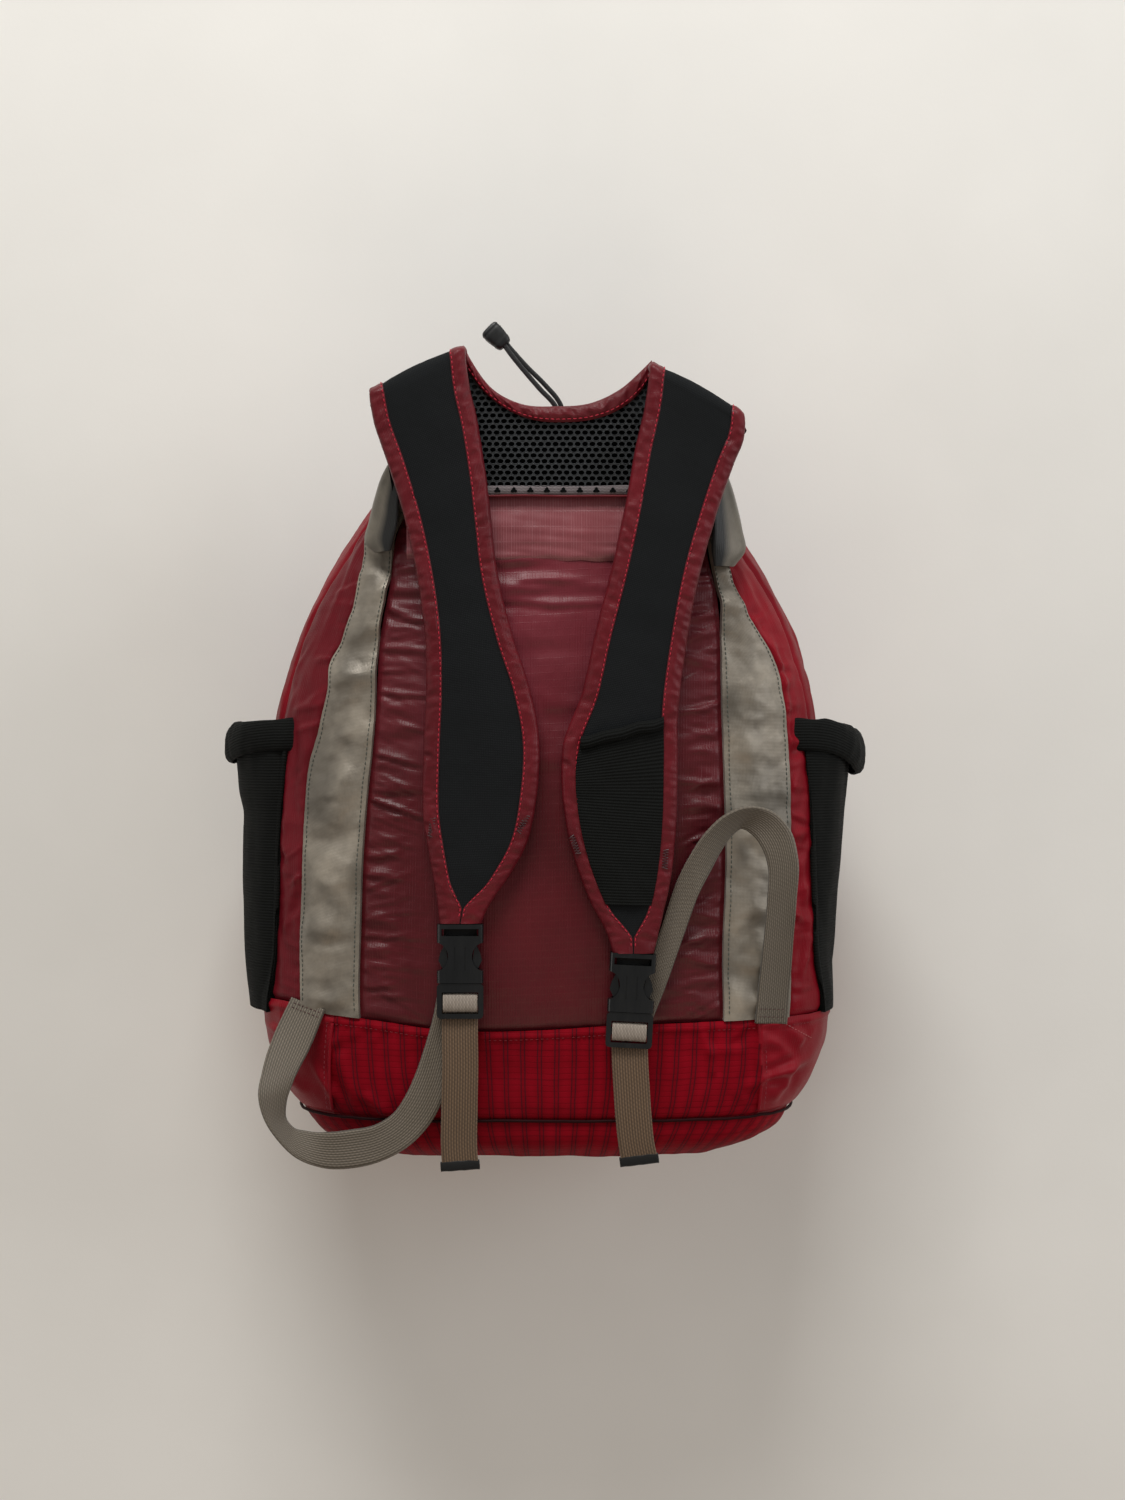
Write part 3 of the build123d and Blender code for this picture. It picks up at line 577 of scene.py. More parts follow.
# One side cloth in two copies: darker on the left rear panel as painted shade, brighter
# (SIDE_RED) on the right as painted light.
SIDE_REAR_SHADED = nylon("side_rear_painted_shade", (0.122, 0.0055, 0.0110), rough=0.40, line=0.06, vary=0.22,
                    spec=0.16)
SIDE_RED = nylon("side_red_bright", (0.205, 0.0040, 0.0110), rough=0.42, line=0.06, vary=0.22,
                 spec=0.12)
RED = nylon("red_side", (0.185, 0.0045, 0.0110), rough=0.44, line=0.06, vary=0.25, spec=0.06)
BOOT = boot_cloth("boot_grid", (0.215, 0.0020, 0.0085))
BINDING = nylon("binding", (0.112, 0.0070, 0.0120), rough=0.40, line=0.03, vary=0.25,
                line_pitch=0.9, spec=0.22)
GREY_STRIP = coated("grey_strip", srgb(122, 115, 104))
STRAP = weave("strap_black", (0.0062, 0.0070, 0.0077), pitch=1.0, rough=0.85, contrast=1.0,
              sheen=0.0, spec=0.12)
STRETCH = ribbed_stretch("stretch", (0.0050, 0.0056, 0.0052))
SPACER = weave("spacer_mesh", (0.019, 0.022, 0.025), pitch=0.7, rough=0.6, contrast=0.5,
               sheen=0.0, spec=0.4)
BACKING = weave("dark_backing", (0.0025, 0.0026, 0.0028), pitch=0.8, rough=0.9, contrast=0.1,
                sheen=0.0, spec=0.05)
WEBBING = ribbed_webbing("webbing", srgb(102, 94, 83, level=1.1))
TAIL_WEBBING = ribbed_webbing("webbing_tail", srgb(94, 75, 57, level=1.1), rib=1.5)
LIGHT_WEBBING = ribbed_webbing("webbing_light", srgb(142, 132, 122), rib=0.8)
BLACK_END = weave("black_end", srgb(14, 14, 14, level=1.0), pitch=0.7, rough=0.9)
ACETAL = plastic("acetal", (0.0055, 0.0062, 0.0068), rough=0.20)
GRIP = plastic("grip", (0.006, 0.0064, 0.0068), rough=0.42)
SLIDER = plastic("slider_paint", srgb(20, 20, 22), rough=0.3)
CORD = braid("cord", (0.007, 0.0072, 0.008))
RED_THREAD = thread("stitch_red", srgb(164, 25, 47))
GREY_THREAD = thread("stitch_grey", srgb(58, 66, 60))
DARK_THREAD = thread("stitch_dark", srgb(60, 18, 24))
TACK_THREAD = thread("bartack", srgb(84, 70, 72))
ZIP_TAPE = weave("zip_tape", (0.008, 0.008, 0.009), pitch=0.8, sheen=0.0, spec=0.15)
TEETH = plastic("coil_teeth", (0.008, 0.008, 0.009), rough=0.35)


# ------------------------------------------------------------------ stitches and tubes
# along the stitch as a share of its length, radius as a share of the full one
STITCH_PROFILE = [(-0.5, 0.35), (-0.36, 0.85), (0.0, 1.0), (0.36, 0.85), (0.5, 0.35)]
STITCH_SIDES = 6


def stitches(name, line, normals, material, pitch, length, radius, body="pack"):
    """Row of short threads along a line; normals is one direction or one for each point."""
    line = np.asarray(line, float)
    normals = np.broadcast_to(np.asarray(normals, float), line.shape)
    distance = path_length(line)
    total = distance[-1]
    count = int(total / pitch)

    def sample(values, at):
        return np.array([np.interp(at, distance, values[:, k]) for k in range(3)])

    verts = []
    for middle in (np.arange(count) + 0.5) * total / count:
        centre = sample(line, middle)
        along = (sample(line, min(middle + length / 2, total))
                 - sample(line, max(middle - length / 2, 0)))
        along /= np.linalg.norm(along)
        normal = sample(normals, middle)
        normal -= along * normal.dot(along)
        normal /= np.linalg.norm(normal)
        across = np.cross(along, normal)
        for share, girth in STITCH_PROFILE:
            lift = radius * (0.7 - 3.2 * share ** 2)
            for k in range(STITCH_SIDES):
                angle = 2 * math.pi * k / STITCH_SIDES
                verts.append(centre + along * share * length
                             + normal * (lift + radius * girth * math.cos(angle))
                             + across * radius * girth * math.sin(angle))
    rings = len(STITCH_PROFILE)
    obj = small_parts(name, verts, tube_faces(rings, STITCH_SIDES), rings * STITCH_SIDES)
    return dress(obj, material, body)


def tube(name, path, radius, material, sides, body="pack", squash=(1.0, 1.0),
         up=(0, 1, 0), capped=True, replaces=()):
    """Tube along a path, its section carried on without twist. squash: scale up and across."""
    path = np.asarray(path, float)
    tangents = np.gradient(path, axis=0)
    tangents /= np.linalg.norm(tangents, axis=1)[:, None]
    angle = np.linspace(0, 2 * math.pi, sides, endpoint=False)
    up = np.asarray(up, float)
    points, uv = [], []
    for centre, tangent, distance in zip(path, tangents, path_length(path)):
        up = up - tangent * up.dot(tangent)
        up /= np.linalg.norm(up)
        across = np.cross(tangent, up)
        points.append(centre + radius * (np.cos(angle)[:, None] * up * squash[0]
                                         + np.sin(angle)[:, None] * across * squash[1]))
        uv.append(np.stack([angle * radius, np.full(sides, distance)], -1))
    obj = mesh_object(name, np.concatenate(points), tube_faces(len(path), sides, capped),
                      np.concatenate(uv))
    return dress(obj, material, body, replaces=replaces)


# ------------------------------------------------------------------ the bag's surface
# z, y of the harness side, y of the front
DEPTH = np.array([
    (0, -60, 60), (7, -73, 75), (25, -81, 86), (60, -84.5, 92), (120, -86, 96),
    (180, -86, 95), (240, -85.5, 88), (290, -84, 76), (330, -82.5, 62), (365, -81, 45),
    (395, -79, 27), (415, -74, 10), (430, -63, -9), (436.5, -52, -22)])
# z, half width
HALF_WIDTH = [
    (0, 112), (7, 131), (25, 150), (42, 162), (60, 169), (85, 173), (120, 172), (180, 171),
    (240, 167), (290, 156), (330, 139), (365, 116), (395, 94), (415, 73), (430, 46), (436.5, 22)]
# z, distance from the middle of the grey strip's inner seam, for each side
INNER_SEAM = {
    1: [(0, 84), (25, 96), (83, 103.2), (118, 102.8), (180, 104.8), (226, 103.6), (272, 102.2),
        (303, 102), (321, 101.4), (336, 99.4), (345, 97), (371, 91), (391, 78), (415, 58),
        (436.5, 15)],
    -1: [(0, 84), (25, 98), (83, 107.4), (141, 106.9), (178, 105.7), (215, 102.9), (252, 99.1),
         (281, 97.6), (303, 96.5), (335, 91), (371, 85.5), (391, 75), (415, 57), (436.5, 15)]}
# the same for its outer seam
OUTER_SEAM = {
    1: [(0, 104), (25, 128), (83, 141.6), (149, 142.4), (187, 143), (234, 142), (272, 138),
        (290, 134), (299, 129), (307, 123), (315, 117), (325, 112.5), (338, 107.5),
        (350, 103.5), (371, 98.5), (391, 85.5), (415, 64), (436.5, 19)],
    -1: [(0, 104), (25, 128), (83, 141.8), (156, 141.8), (200, 140.2), (230, 137.3),
         (255, 130.5), (277, 124.9), (292, 123.6), (303, 117.5), (335, 109), (371, 100),
         (391, 85), (415, 65), (436.5, 19)]}
# x, z of the boot's sewn top edge on the harness side
BOOT_EDGE = [
    (-175, 91), (-152.7, 92), (-127.7, 86.5), (-103.4, 84.1), (-64.4, 79), (-35.3, 77.6),
    (0, 78.5), (36, 80.7), (100.9, 83), (161.5, 84.1), (175, 84.5)]

BASE_TOP, BOOT_TOP, SIDE_TOP, BAG_TOP = 25, 83, 391, 436.5

ZIP_CENTRE = np.array([0, 46.8, 315.4])
ZIP_TILT = math.radians(24)
ZIP_NORMAL = np.array([0, math.cos(ZIP_TILT), math.sin(ZIP_TILT)])
ZIP_UP = np.array([0, -math.sin(ZIP_TILT), math.cos(ZIP_TILT)])
ZIP_ACROSS = np.array([1.0, 0, 0])
ZIP_RADIUS = 120.0
ZIP_SHELL_RADIUS = 133             # where the cloth outside the zip begins


def section(z):
    """Half width, middle y and half depth at a height."""
    back, front = table(DEPTH[:, [0, 1]], z), table(DEPTH[:, [0, 2]], z)
    return table(HALF_WIDTH, z), (back + front) / 2, (front - back) / 2


def ring(z, angle):
    """x and y on the bag's rounded outline; angle 0 is +X, -90 degrees the harness side."""
    half_width, middle, half_depth = section(z)
    c, s = np.cos(angle), np.sin(angle)
    power = 2.6 + 0.8 * (0.5 - 0.5 * s)
    x = half_width * np.abs(c) ** (2 / power) * np.sign(c)
    y = middle + half_depth * np.abs(s) ** (2 / power) * np.sign(s)
    return x, y


def angle_of_x(z, x, front=False):
    """Angle at which the outline has this x, on the harness side or the front."""
    angles = np.linspace(0, math.pi, 1201) if front else np.linspace(-math.pi, 0, 1201)
    direction = -1 if front else 1
    found = np.empty(np.shape(z))
    for i, (height, target) in enumerate(zip(np.ravel(z), np.ravel(x))):
        outline, _ = ring(np.full_like(angles, height), angles)
        found.flat[i] = np.interp(direction * target, direction * outline, angles)
    return found


def harness_point(x, z):
    """x and y on the harness side."""
    return ring(z, angle_of_x(z, x))


def front_y(x, z):
    """y of the front surface."""
    half_width, middle, half_depth = section(z)
    power = 2.6
    edge = np.clip(np.abs(x) / half_width, 0, 1) ** power
    return middle + half_depth * (1 - edge).clip(0) ** (1 / power)


def seam_angle(z, seam, side):
    """Angle of an upright seam; side is +1 for +X."""
    half_width = table(HALF_WIDTH, z)
    if seam == "inner":
        angle = angle_of_x(z, np.minimum(table(INNER_SEAM[side], z), half_width * 0.90))
    elif seam == "outer":
        angle = angle_of_x(z, np.minimum(table(OUTER_SEAM[side], z), half_width * 0.965))
    elif seam == "front":
        angle = angle_of_x(z, np.minimum(118.0, half_width * 0.80), front=True)
    else:
        fixed = {"side": -0.34, "back centre": -math.pi / 2, "front centre": math.pi / 2}
        angle = np.full(np.shape(z), fixed[seam])
    return angle if side > 0 else -math.pi - angle


def span(z, start, end, count, samples=500):
    """Angles of evenly spaced columns between two seams, for every row."""
    angle = start[:, None] + (end - start)[:, None] * np.linspace(0, 1, samples)[None]
    x, y = ring(z[:, None] + 0 * angle, angle)
    pieces = np.hypot(np.diff(x, axis=1), np.diff(y, axis=1))
    length = np.concatenate([np.zeros((len(z), 1)), np.cumsum(pieces, 1)], 1)
    return np.array([np.interp(np.linspace(0, along[-1], count), along, angles)
                     for along, angles in zip(length, angle)])


def zip_polar(points):
    """Radius and turn from the top (degrees) in the zip's plane, and height above it."""
    offset = points - ZIP_CENTRE
    x, up = offset @ ZIP_ACROSS, offset @ ZIP_UP
    return np.hypot(x, up), np.degrees(np.arctan2(np.abs(x), up)), offset @ ZIP_NORMAL


def seat_on_zip(points):
    """Draws the cloth close to the main zip into the zip's own plane."""
    radius, turn, above = zip_polar(points)
    gap = np.clip(np.abs(radius - ZIP_RADIUS) - 16, 0, None)
    pull = np.exp(-gap ** 2 / (2 * 14.0 ** 2)) * (1 - smooth(100, 116, turn))
    pull = pull * (points[..., 1] > -35) * smooth(240, 290, points[..., 2])
    pull = pull * (1 - smooth(30, 60, np.abs(above)))
    return points - (pull * above)[..., None] * ZIP_NORMAL


def follow_boot_edge(x, y, z, edge):
    """Moves the rows so that their top or bottom edge lies on the boot's sewn edge."""
    seam = BOOT_TOP + (table(BOOT_EDGE, x) - BOOT_TOP) * smooth(30, -30, y)
    low, high = z.min(), z.max()
    if edge == "bottom":
        return z + (seam - low) * (high - z) / (high - low)
    return z + (seam - high) * (z - low) / (high - low)


# ------------------------------------------------------------------ gathered cloth and panels
SIM_SCALE = 10                      # the cloth is simulated ten times full size
SIM_FRAMES = 22


def cloth_sim(points, normals, grow_z, grow_xy, cap, seed, cell=4.2, bend=0.3, start=0.7):
    """Movement (mm) of cloth held along its four edges with more cloth than room.

    grow_z, grow_xy: extra cloth as a share; cap: largest movement; cell: spacing of the
    simulated grid; bend: bending stiffness; start: height of the first ripples.
    """
    full_rows, full_cols = points.shape[:2]
    skip = max(1, int(round(cell / STEP)))
    kept_rows = np.unique(np.concatenate([np.arange(0, full_rows, skip), [full_rows - 1]]))
    kept_cols = np.unique(np.concatenate([np.arange(0, full_cols, skip), [full_cols - 1]]))
    coarse = points[np.ix_(kept_rows, kept_cols)]
    row_count, col_count = coarse.shape[:2]
    j, i = np.arange(row_count)[:, None], np.arange(col_count)[None]
    edge = np.minimum(np.minimum(j, row_count - 1 - j), np.minimum(i, col_count - 1 - i))
    ripple = start * pnoise(coarse[..., 0] / 17, coarse[..., 2] / 8, seed * 3.1)
    ripple = ripple * np.minimum(edge, 2) / 2
    rippled = coarse + normals[np.ix_(kept_rows, kept_cols)] * ripple[..., None]
    obj = grid_object("gather", rippled * SIM_SCALE)

    obj.shape_key_add(name="Basis")
    key = obj.shape_key_add(name="rest")
    middle = coarse.mean((0, 1))
    rest = middle + (coarse - middle) * (1 + np.array([grow_xy, grow_xy, grow_z]))
    key.data.foreach_set("co", (rest * SIM_SCALE * MM).ravel())
    key.value = 0.0
    pins = obj.vertex_groups.new(name="pin")
    pins.add([int(v) for v in np.flatnonzero(edge.ravel() == 0)], 1.0, "REPLACE")

    modifier = obj.modifiers.new("cloth", "CLOTH")
    cloth = modifier.settings
    cloth.quality = 6
    cloth.mass = 0.15
    cloth.tension_stiffness = 20
    cloth.compression_stiffness = 20
    cloth.shear_stiffness = 8
    cloth.bending_stiffness = bend
    cloth.tension_damping = cloth.compression_damping = cloth.shear_damping = 8
    cloth.air_damping = 2.0
    cloth.vertex_group_mass = "pin"
    cloth.pin_stiffness = 1.0
    cloth.rest_shape_key = key
    cloth.effector_weights.gravity = 0.0
    cloth.use_pressure = True
    cloth.uniform_pressure_force = 0.6
    modifier.point_cache.frame_start = 1
    modifier.point_cache.frame_end = SIM_FRAMES
    scene = bpy.context.scene
    for frame in range(1, SIM_FRAMES + 1):
        scene.frame_set(frame)

    settled = obj.evaluated_get(bpy.context.evaluated_depsgraph_get())
    mesh = settled.to_mesh()
    coords = np.empty(len(mesh.vertices) * 3)
    mesh.vertices.foreach_get("co", coords)
    settled.to_mesh_clear()
    bpy.data.objects.remove(obj, do_unlink=True)
    scene.frame_set(1)
    move = coords.reshape(row_count, col_count, 3) / MM / SIM_SCALE - coarse
    # A simulation that blows up leaves the cloth where it was.
    if not np.isfinite(move).all():
        return np.zeros_like(points)
    distance = np.linalg.norm(move, axis=-1, keepdims=True)
    move = move * (cap * np.tanh(distance / cap) / np.maximum(distance, 1e-6))
    move[edge == 0] = 0
    move = hermite(kept_rows.astype(float), move, np.arange(full_rows, dtype=float))
    move = hermite(kept_cols.astype(float), np.swapaxes(move, 0, 1),
                   np.arange(full_cols, dtype=float))
    return np.swapaxes(move, 0, 1)


def heights(low, high):
    return np.linspace(low, high, max(2, int(round((high - low) / STEP)) + 1))


def columns(width):
    return max(4, int(round(width / STEP)))


def panel(name, z_rows, seams, widths, relief, material, body="pack", replaces=(),
          tuck=(1, 1, 1, 1), follow=None, sim=None):
    """One sewn panel; returns the object, its points and the normals of the plain surface.

    seams: (seam, side) boundaries in turn; widths: nominal width of each span between them;
    relief: height from points and uv; tuck: whether the first column, last column, bottom and
    top turn inward; follow: the edge that lies on the boot's sewn edge.
    """
    angles = [seam_angle(z_rows, *seam) for seam in seams]
    spans = [span(z_rows, start, end, columns(width) + 1)
             for start, end, width in zip(angles, angles[1:], widths)]
    angle = np.concatenate([spans[0]] + [part[:, 1:] for part in spans[1:]], 1)
    z = np.repeat(z_rows[:, None], angle.shape[1], 1)
    if follow:
        z = follow_boot_edge(*ring(z, angle), z, follow)
    points = seat_on_zip(xyz(*ring(z, angle), z))
    normals = grid_normals(points)
    if (points * normals)[..., :2].sum() < 0:
        normals = -normals
    uv = metric_uv(points)
    if len(seams) > 5:
        # Bands round the whole bag keep the top row's spacing at every height.
        uv = np.stack(np.broadcast_arrays(uv[-1, :, 0], points[..., 2]), -1)
    if sim:
        points = points + cloth_sim(points, normals, **sim)
    height = relief(points, uv)
    for turned, border in zip(tuck, (points[:, :1], points[:, -1:], points[:1], points[-1:])):
        if turned:
            distance = np.linalg.norm(points - border, axis=-1)
            height = height * smooth(0, 5, distance) - 1.3 * np.exp(-(distance / 2.2) ** 2)
    points = points + normals * height[..., None]
    obj = grid_object(name, points, uv)
    face = obj.data.polygons[len(obj.data.polygons) // 2]
    if face.normal.dot(Vector((face.center.x, face.center.y, 0.0))) < 0:
        obj.data.flip_normals()
    return dress(obj, material, body, replaces), points, normals


# ------------------------------------------------------------------ panel reliefs
def back_relief(points, uv):
    """Creases pulled from the strip seams, slanting down to the middle, and soft folds."""
    x, z = points[..., 0], points[..., 2]
    random = np.random.default_rng(21)
    height = 0.8 * fbm(x / 80, z / 34, 1.0, 2) * smooth(0, 25, 121 - np.abs(x))
    creases = []
    for side in (-1, 1):
        inward = math.pi if side > 0 else 0
        at = 92.0
        while at < 372:
            seam = side * float(table(INNER_SEAM[side], at))
            angle = inward + side * random.uniform(-0.10, 0.42)
            length = random.uniform(24, 56)
            creases.append((seam + side * 2, at, angle, length, random.uniform(1.5, 4.2),
                            random.uniform(0.5, 2.1) * (0.75 if at < 130 else 1.0)))
            if random.random() < 0.5:
                creases.append((seam - side * random.uniform(6, 20),
                                at + random.uniform(-5, 5),
                                angle + random.uniform(-0.35, 0.35), length * 0.6,
                                random.uniform(1.2, 2.4), random.uniform(0.3, 0.9)))
            at += random.uniform(4.5, 15)
    # soft folds just below the upper band, then broad ones lower down
    creases += random_creases(random, 9, (-50, 5), (322, 350), (-0.12, 0.12), (35, 75),
                              (2.2, 4.5), (0.6, 1.5))
    creases += random_creases(random, 16, (-80, 30), (200, 330), (-0.2, 0.2), (30, 70),
                              (4, 9), (0.3, 0.9))
    # fine creases along both seams
    for _ in range(120):
        side = random.choice([-1, 1])
        at = random.uniform(90, 375)
        seam = side * float(table(INNER_SEAM[side], at))
        angle = (math.pi if side > 0 else 0) + side * random.uniform(-0.35, 0.55)
        creases.append((seam + side * 1.5 - side * random.uniform(0, 14), at, angle,
                        random.uniform(14, 46), random.uniform(0.9, 1.7),
                        random.uniform(0.2, 0.65)))
    height = height + stamp(x, z, creases)
    near = np.exp(-((100 - np.abs(x)).clip(0) / 26) ** 2)
    height = height + near * (0.55 * ridge(x / 30, z / 9.0, 3.3)
                              + 0.25 * ridge(x / 14, z / 4.6, 9.1))
    return height + 0.16 * pnoise(x / 5, z / 5, 5.0) - 0.3


def side_relief(points, uv):
    """Long upright folds, with short pulls from the strip seam on the rear panels."""
    x, y, z = np.moveaxis(points, -1, 0)
    u = uv[..., 0]
    side = 1 if x.mean() > 0 else -1
    random = np.random.default_rng(31 + side)
    creases = []
    low, high = u.min(), u.max()
    for _ in range(44):
        at = random.uniform(100, 380)
        start = random.uniform(low, high)
        angle = math.pi / 2 * random.choice([-1, 1]) + random.uniform(-0.6, 0.6)
        creases.append((start, at, angle, random.uniform(30, 90), random.uniform(2.5, 6.0),
                        random.uniform(0.3, 1.3)))
    if y.mean() < -40:
        start, inward = (low, 0) if side > 0 else (high, math.pi)
        for _ in range(26):
            at = random.uniform(92, 340)
            creases.append((start, at, inward + random.uniform(-0.5, 0.5),
                            random.uniform(12, 34), random.uniform(1.6, 3.2),
                            random.uniform(0.4, 1.2)))
    height = (stamp(u, z, creases) + 1.1 * fbm(u / 50, z / 70, 2.0 + side, 2)
              + 0.3 * ridge(u / 18, z / 34, 4.0 + side) + 0.18 * pnoise(u / 6, z / 9, 8.0))
    # calmer under the side pockets
    height = height * (1 - 0.7 * smooth(262, 240, z) * smooth(66, 56, np.abs(y - 6)))
    return height * 0.8


def strip_relief(side):
    """Padded bulge with slow lumps."""
    def relief(points, uv):
        u, z = uv[..., 0], points[..., 2]
        share = u / max(1.0, np.abs(u).max())
        bulge = (1 - share ** 2).clip(0) ** 0.8
        lumps = (4.2 * pnoise(0.2 + side + u / 60, z / 21, 1.7 + side)
                 + 2.8 * pnoise(u / 20, z / 15, 6.2 + side)
                 + 0.8 * pnoise(u / 10, z / 8, 2.2 + side))
        return 1.9 + bulge * (1.6 + lumps) + 0.25 * pnoise(u / 4, z / 4, 3.0)
    return relief


# folds of the boot on the harness side: x, z, angle, length, width, height
BOOT_FOLDS = [
    (126, 80, -1.6, 60, 2.6, 1.6), (118, 44, 0.35, 50, 3.4, 1.8),
    (-118, 64, -1.35, 44, 4.5, 2.0), (-104, 40, -0.9, 30, 3.6, 1.8)]


def boot_relief(points, uv):
    x, y, z = np.moveaxis(points, -1, 0)
    random = np.random.default_rng(57)
    height = 1.1 * fbm(x / 45 + y / 60, z / 38, 2.0, 3) + 0.30 * pnoise(x / 8, z / 8, 2.0)
    creases = []
    for _ in range(22):
        side = random.choice([-1, 1])
        creases.append((side * random.uniform(92, 158), random.uniform(28, 74),
                        random.uniform(0, math.pi), random.uniform(16, 40),
                        random.uniform(2, 4.5), random.uniform(0.6, 1.7)))
    harness_side = y < 20
    height = height + stamp(x, z, creases + BOOT_FOLDS) * harness_side
    top = np.where(harness_side, table(BOOT_EDGE, x), BOOT_TOP)
    height = height + 1.2 * np.exp(-((z - (top - 3.4)) / 1.8) ** 2)
    return height + 0.5 * ridge(x / 12, z / 40, 7.0) * smooth(40, 78, z) + 0.4


def base_relief(points, uv):
    x, y, z = np.moveaxis(points, -1, 0)
    return (1.0 * fbm(x / 40 + y / 55, z / 30 + y / 40, 5.0, 3)
            + 0.2 * pnoise(x / 8, z / 8 + y / 8, 2.0) - 0.2)


def front_relief(points, uv):
    x, z = points[..., 0], points[..., 2]
    creases = random_creases(np.random.default_rng(77), 40, (-110, 110), (90, 270),
                             (-0.5, 0.5), (20, 60), (2.5, 6), (0.4, 1.2))
    return (stamp(x, z, creases) + 1.0 * fbm(x / 55, z / 45, 6.0, 3)
            + 0.3 * pnoise(x / 7, z / 7, 1.0))


def top_relief(points, uv):
    x, y, z = np.moveaxis(points, -1, 0)
    return (1.0 * fbm(x / 40, y / 40 + z / 40, 2.0, 3)
            + 0.3 * pnoise(x / 7, y / 7 + z / 7, 3.0))


# ------------------------------------------------------------------ harness side and flanks
# nominal widths of the spans between neighbouring seams
FRONT_SPAN, SIDE_SPAN, REAR_SPAN, STRIP_SPAN, BACK_SPAN = 118, 135, 42, 38, 104
HALF_ROUND = [FRONT_SPAN, SIDE_SPAN, REAR_SPAN, STRIP_SPAN, BACK_SPAN]
ROUND_WIDTHS = HALF_ROUND + HALF_ROUND[::-1]
HALF_SEAMS = ["inner", "outer", "side", "front", "front centre"]
ROUND_SEAMS = ([(seam, -1) for seam in HALF_SEAMS[::-1]] + [("back centre", 0)]
               + [(seam, 1) for seam in HALF_SEAMS])
WALL_ROWS = heights(BOOT_TOP, SIDE_TOP)

back = panel("back_cloth", WALL_ROWS, [("inner", -1), ("back centre", 0), ("inner", 1)],
             [BACK_SPAN, BACK_SPAN], back_relief, MAROON, replaces=("back_panel",),
             tuck=(1, 1, 1, 0), follow="bottom",
             sim=dict(grow_z=0.045, grow_xy=0.008, seed=1, cap=4.0, bend=0.25))[0]
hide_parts("back_foam")


def grey_strip(side, hand):
    """Padded strip with a row of stitches and a turned rim along both edges."""
    _, points, normals = panel(
        f"strip_{hand}", WALL_ROWS, [("inner", side), ("outer", side)][::side], [STRIP_SPAN],
        strip_relief(side), GREY_STRIP, replaces=(f"grey_strip_{hand}",),
        tuck=(0, 0, 0, 0), follow="bottom",
        sim=dict(grow_z=0.03, grow_xy=0.03, seed=4 + side, cap=3.5, cell=3.0, bend=1.0,
                 start=0.4))
    last = points.shape[1] - 1
    inset = max(1, int(round(2.0 / STEP)))
    for edge, col in (("a", inset), ("b", last - inset)):
        normal = normals[3:-2, col]
        stitches(f"strip_stitch_{hand}_{edge}", points[3:-2, col] + normal * 0.15, normal,
                 GREY_THREAD, pitch=2.8, length=1.9, radius=0.26)
    for edge, col in (("a", 0), ("b", last)):
        rim = np.stack([points[:, col] - normals[:, col] * depth for depth in (0, 1.2, 3.4)], 1)
        dress(grid_object(f"strip_rim_{hand}_{edge}", rim, metric_uv(rim)), GREY_STRIP, "pack")


def side_panels(side, hand):
    """Rear and main side panel; returns the main one."""
    # Left rear panel: the darker copy, painted shade; right: the brighter copy, painted light.
    panel(f"side_rear_{hand}", WALL_ROWS, [("outer", side), ("side", side)][::side],
          [REAR_SPAN], side_relief, SIDE_REAR_SHADED if side < 0 else SIDE_RED,
          replaces=(f"side_panel_{hand}",), follow="bottom",
          sim=dict(grow_z=0.05, grow_xy=0.03, seed=7 + side, cap=4.5))
    return panel(f"side_main_{hand}", WALL_ROWS, [("side", side), ("front", side)][::side],
                 [SIDE_SPAN], side_relief, RED, follow="bottom",
                 sim=dict(grow_z=0.03, grow_xy=0.045, seed=11 + side, cap=4.5, bend=0.6))[0]


for side, hand in SIDES:
    grey_strip(side, hand)
main_sides = [side_panels(side, hand) for side, hand in SIDES]


# ------------------------------------------------------------------ boot and base
def corner_x(z):
    """Distance from the middle at which the boot's corner piece begins."""
    return 123.5 + 2.5 * np.sin((84 - z) / 22.0)


def boot():
    obj = panel("boot_cloth", heights(BASE_TOP, BOOT_TOP), ROUND_SEAMS, ROUND_WIDTHS,
                boot_relief, BOOT, replaces=("boot_panel",),
                tuck=(0, 0, 1, 0), follow="top")[0]
    mesh = obj.data
    mesh.materials.append(SIDE_RED)
    centres = np.empty(len(mesh.polygons) * 3)
    mesh.polygons.foreach_get("center", centres)
    x, y, z = centres.reshape(-1, 3).T * 1000
    in_corner = (np.abs(x) > corner_x(z)) & (y < 60)
    mesh.polygons.foreach_set("material_index", in_corner.astype(np.int32))
    mesh.update()


def boot_corner(side, hand):
    """Seam of the corner piece and the small stitched triangle above it."""
    z = np.linspace(81, 29, 60)
    x = side * corner_x(z)
    seam = xyz(x, harness_point(x, z)[1] - 1.6, z)
    normal = np.array([side * 0.5, -0.86, 0.0])
    tube(f"boot_corner_seam_{hand}", seam + normal * 0.1, 1.0, SIDE_RED, sides=8)
    stitches(f"boot_corner_stitch_{hand}", seam + np.array([side * 3.0, 1.4, 0]) + normal * 0.4,
             normal, thread(f"corner_thread_{hand}", (0.25, 0.03, 0.045)),
             pitch=3.0, length=1.9, radius=0.2)
    share = np.linspace(0, 1, 40)
    x = side * (136 + 22 * share)
    z = 82.5 - 13.5 * share
    stitches(f"boot_triangle_{hand}", xyz(x, harness_point(x, z)[1] - 1.3, z),
             [side * 0.6, -0.8, 0.0], thread(f"triangle_thread_{hand}", (0.40, 0.12, 0.12)),
             pitch=2.6, length=1.7, radius=0.24)


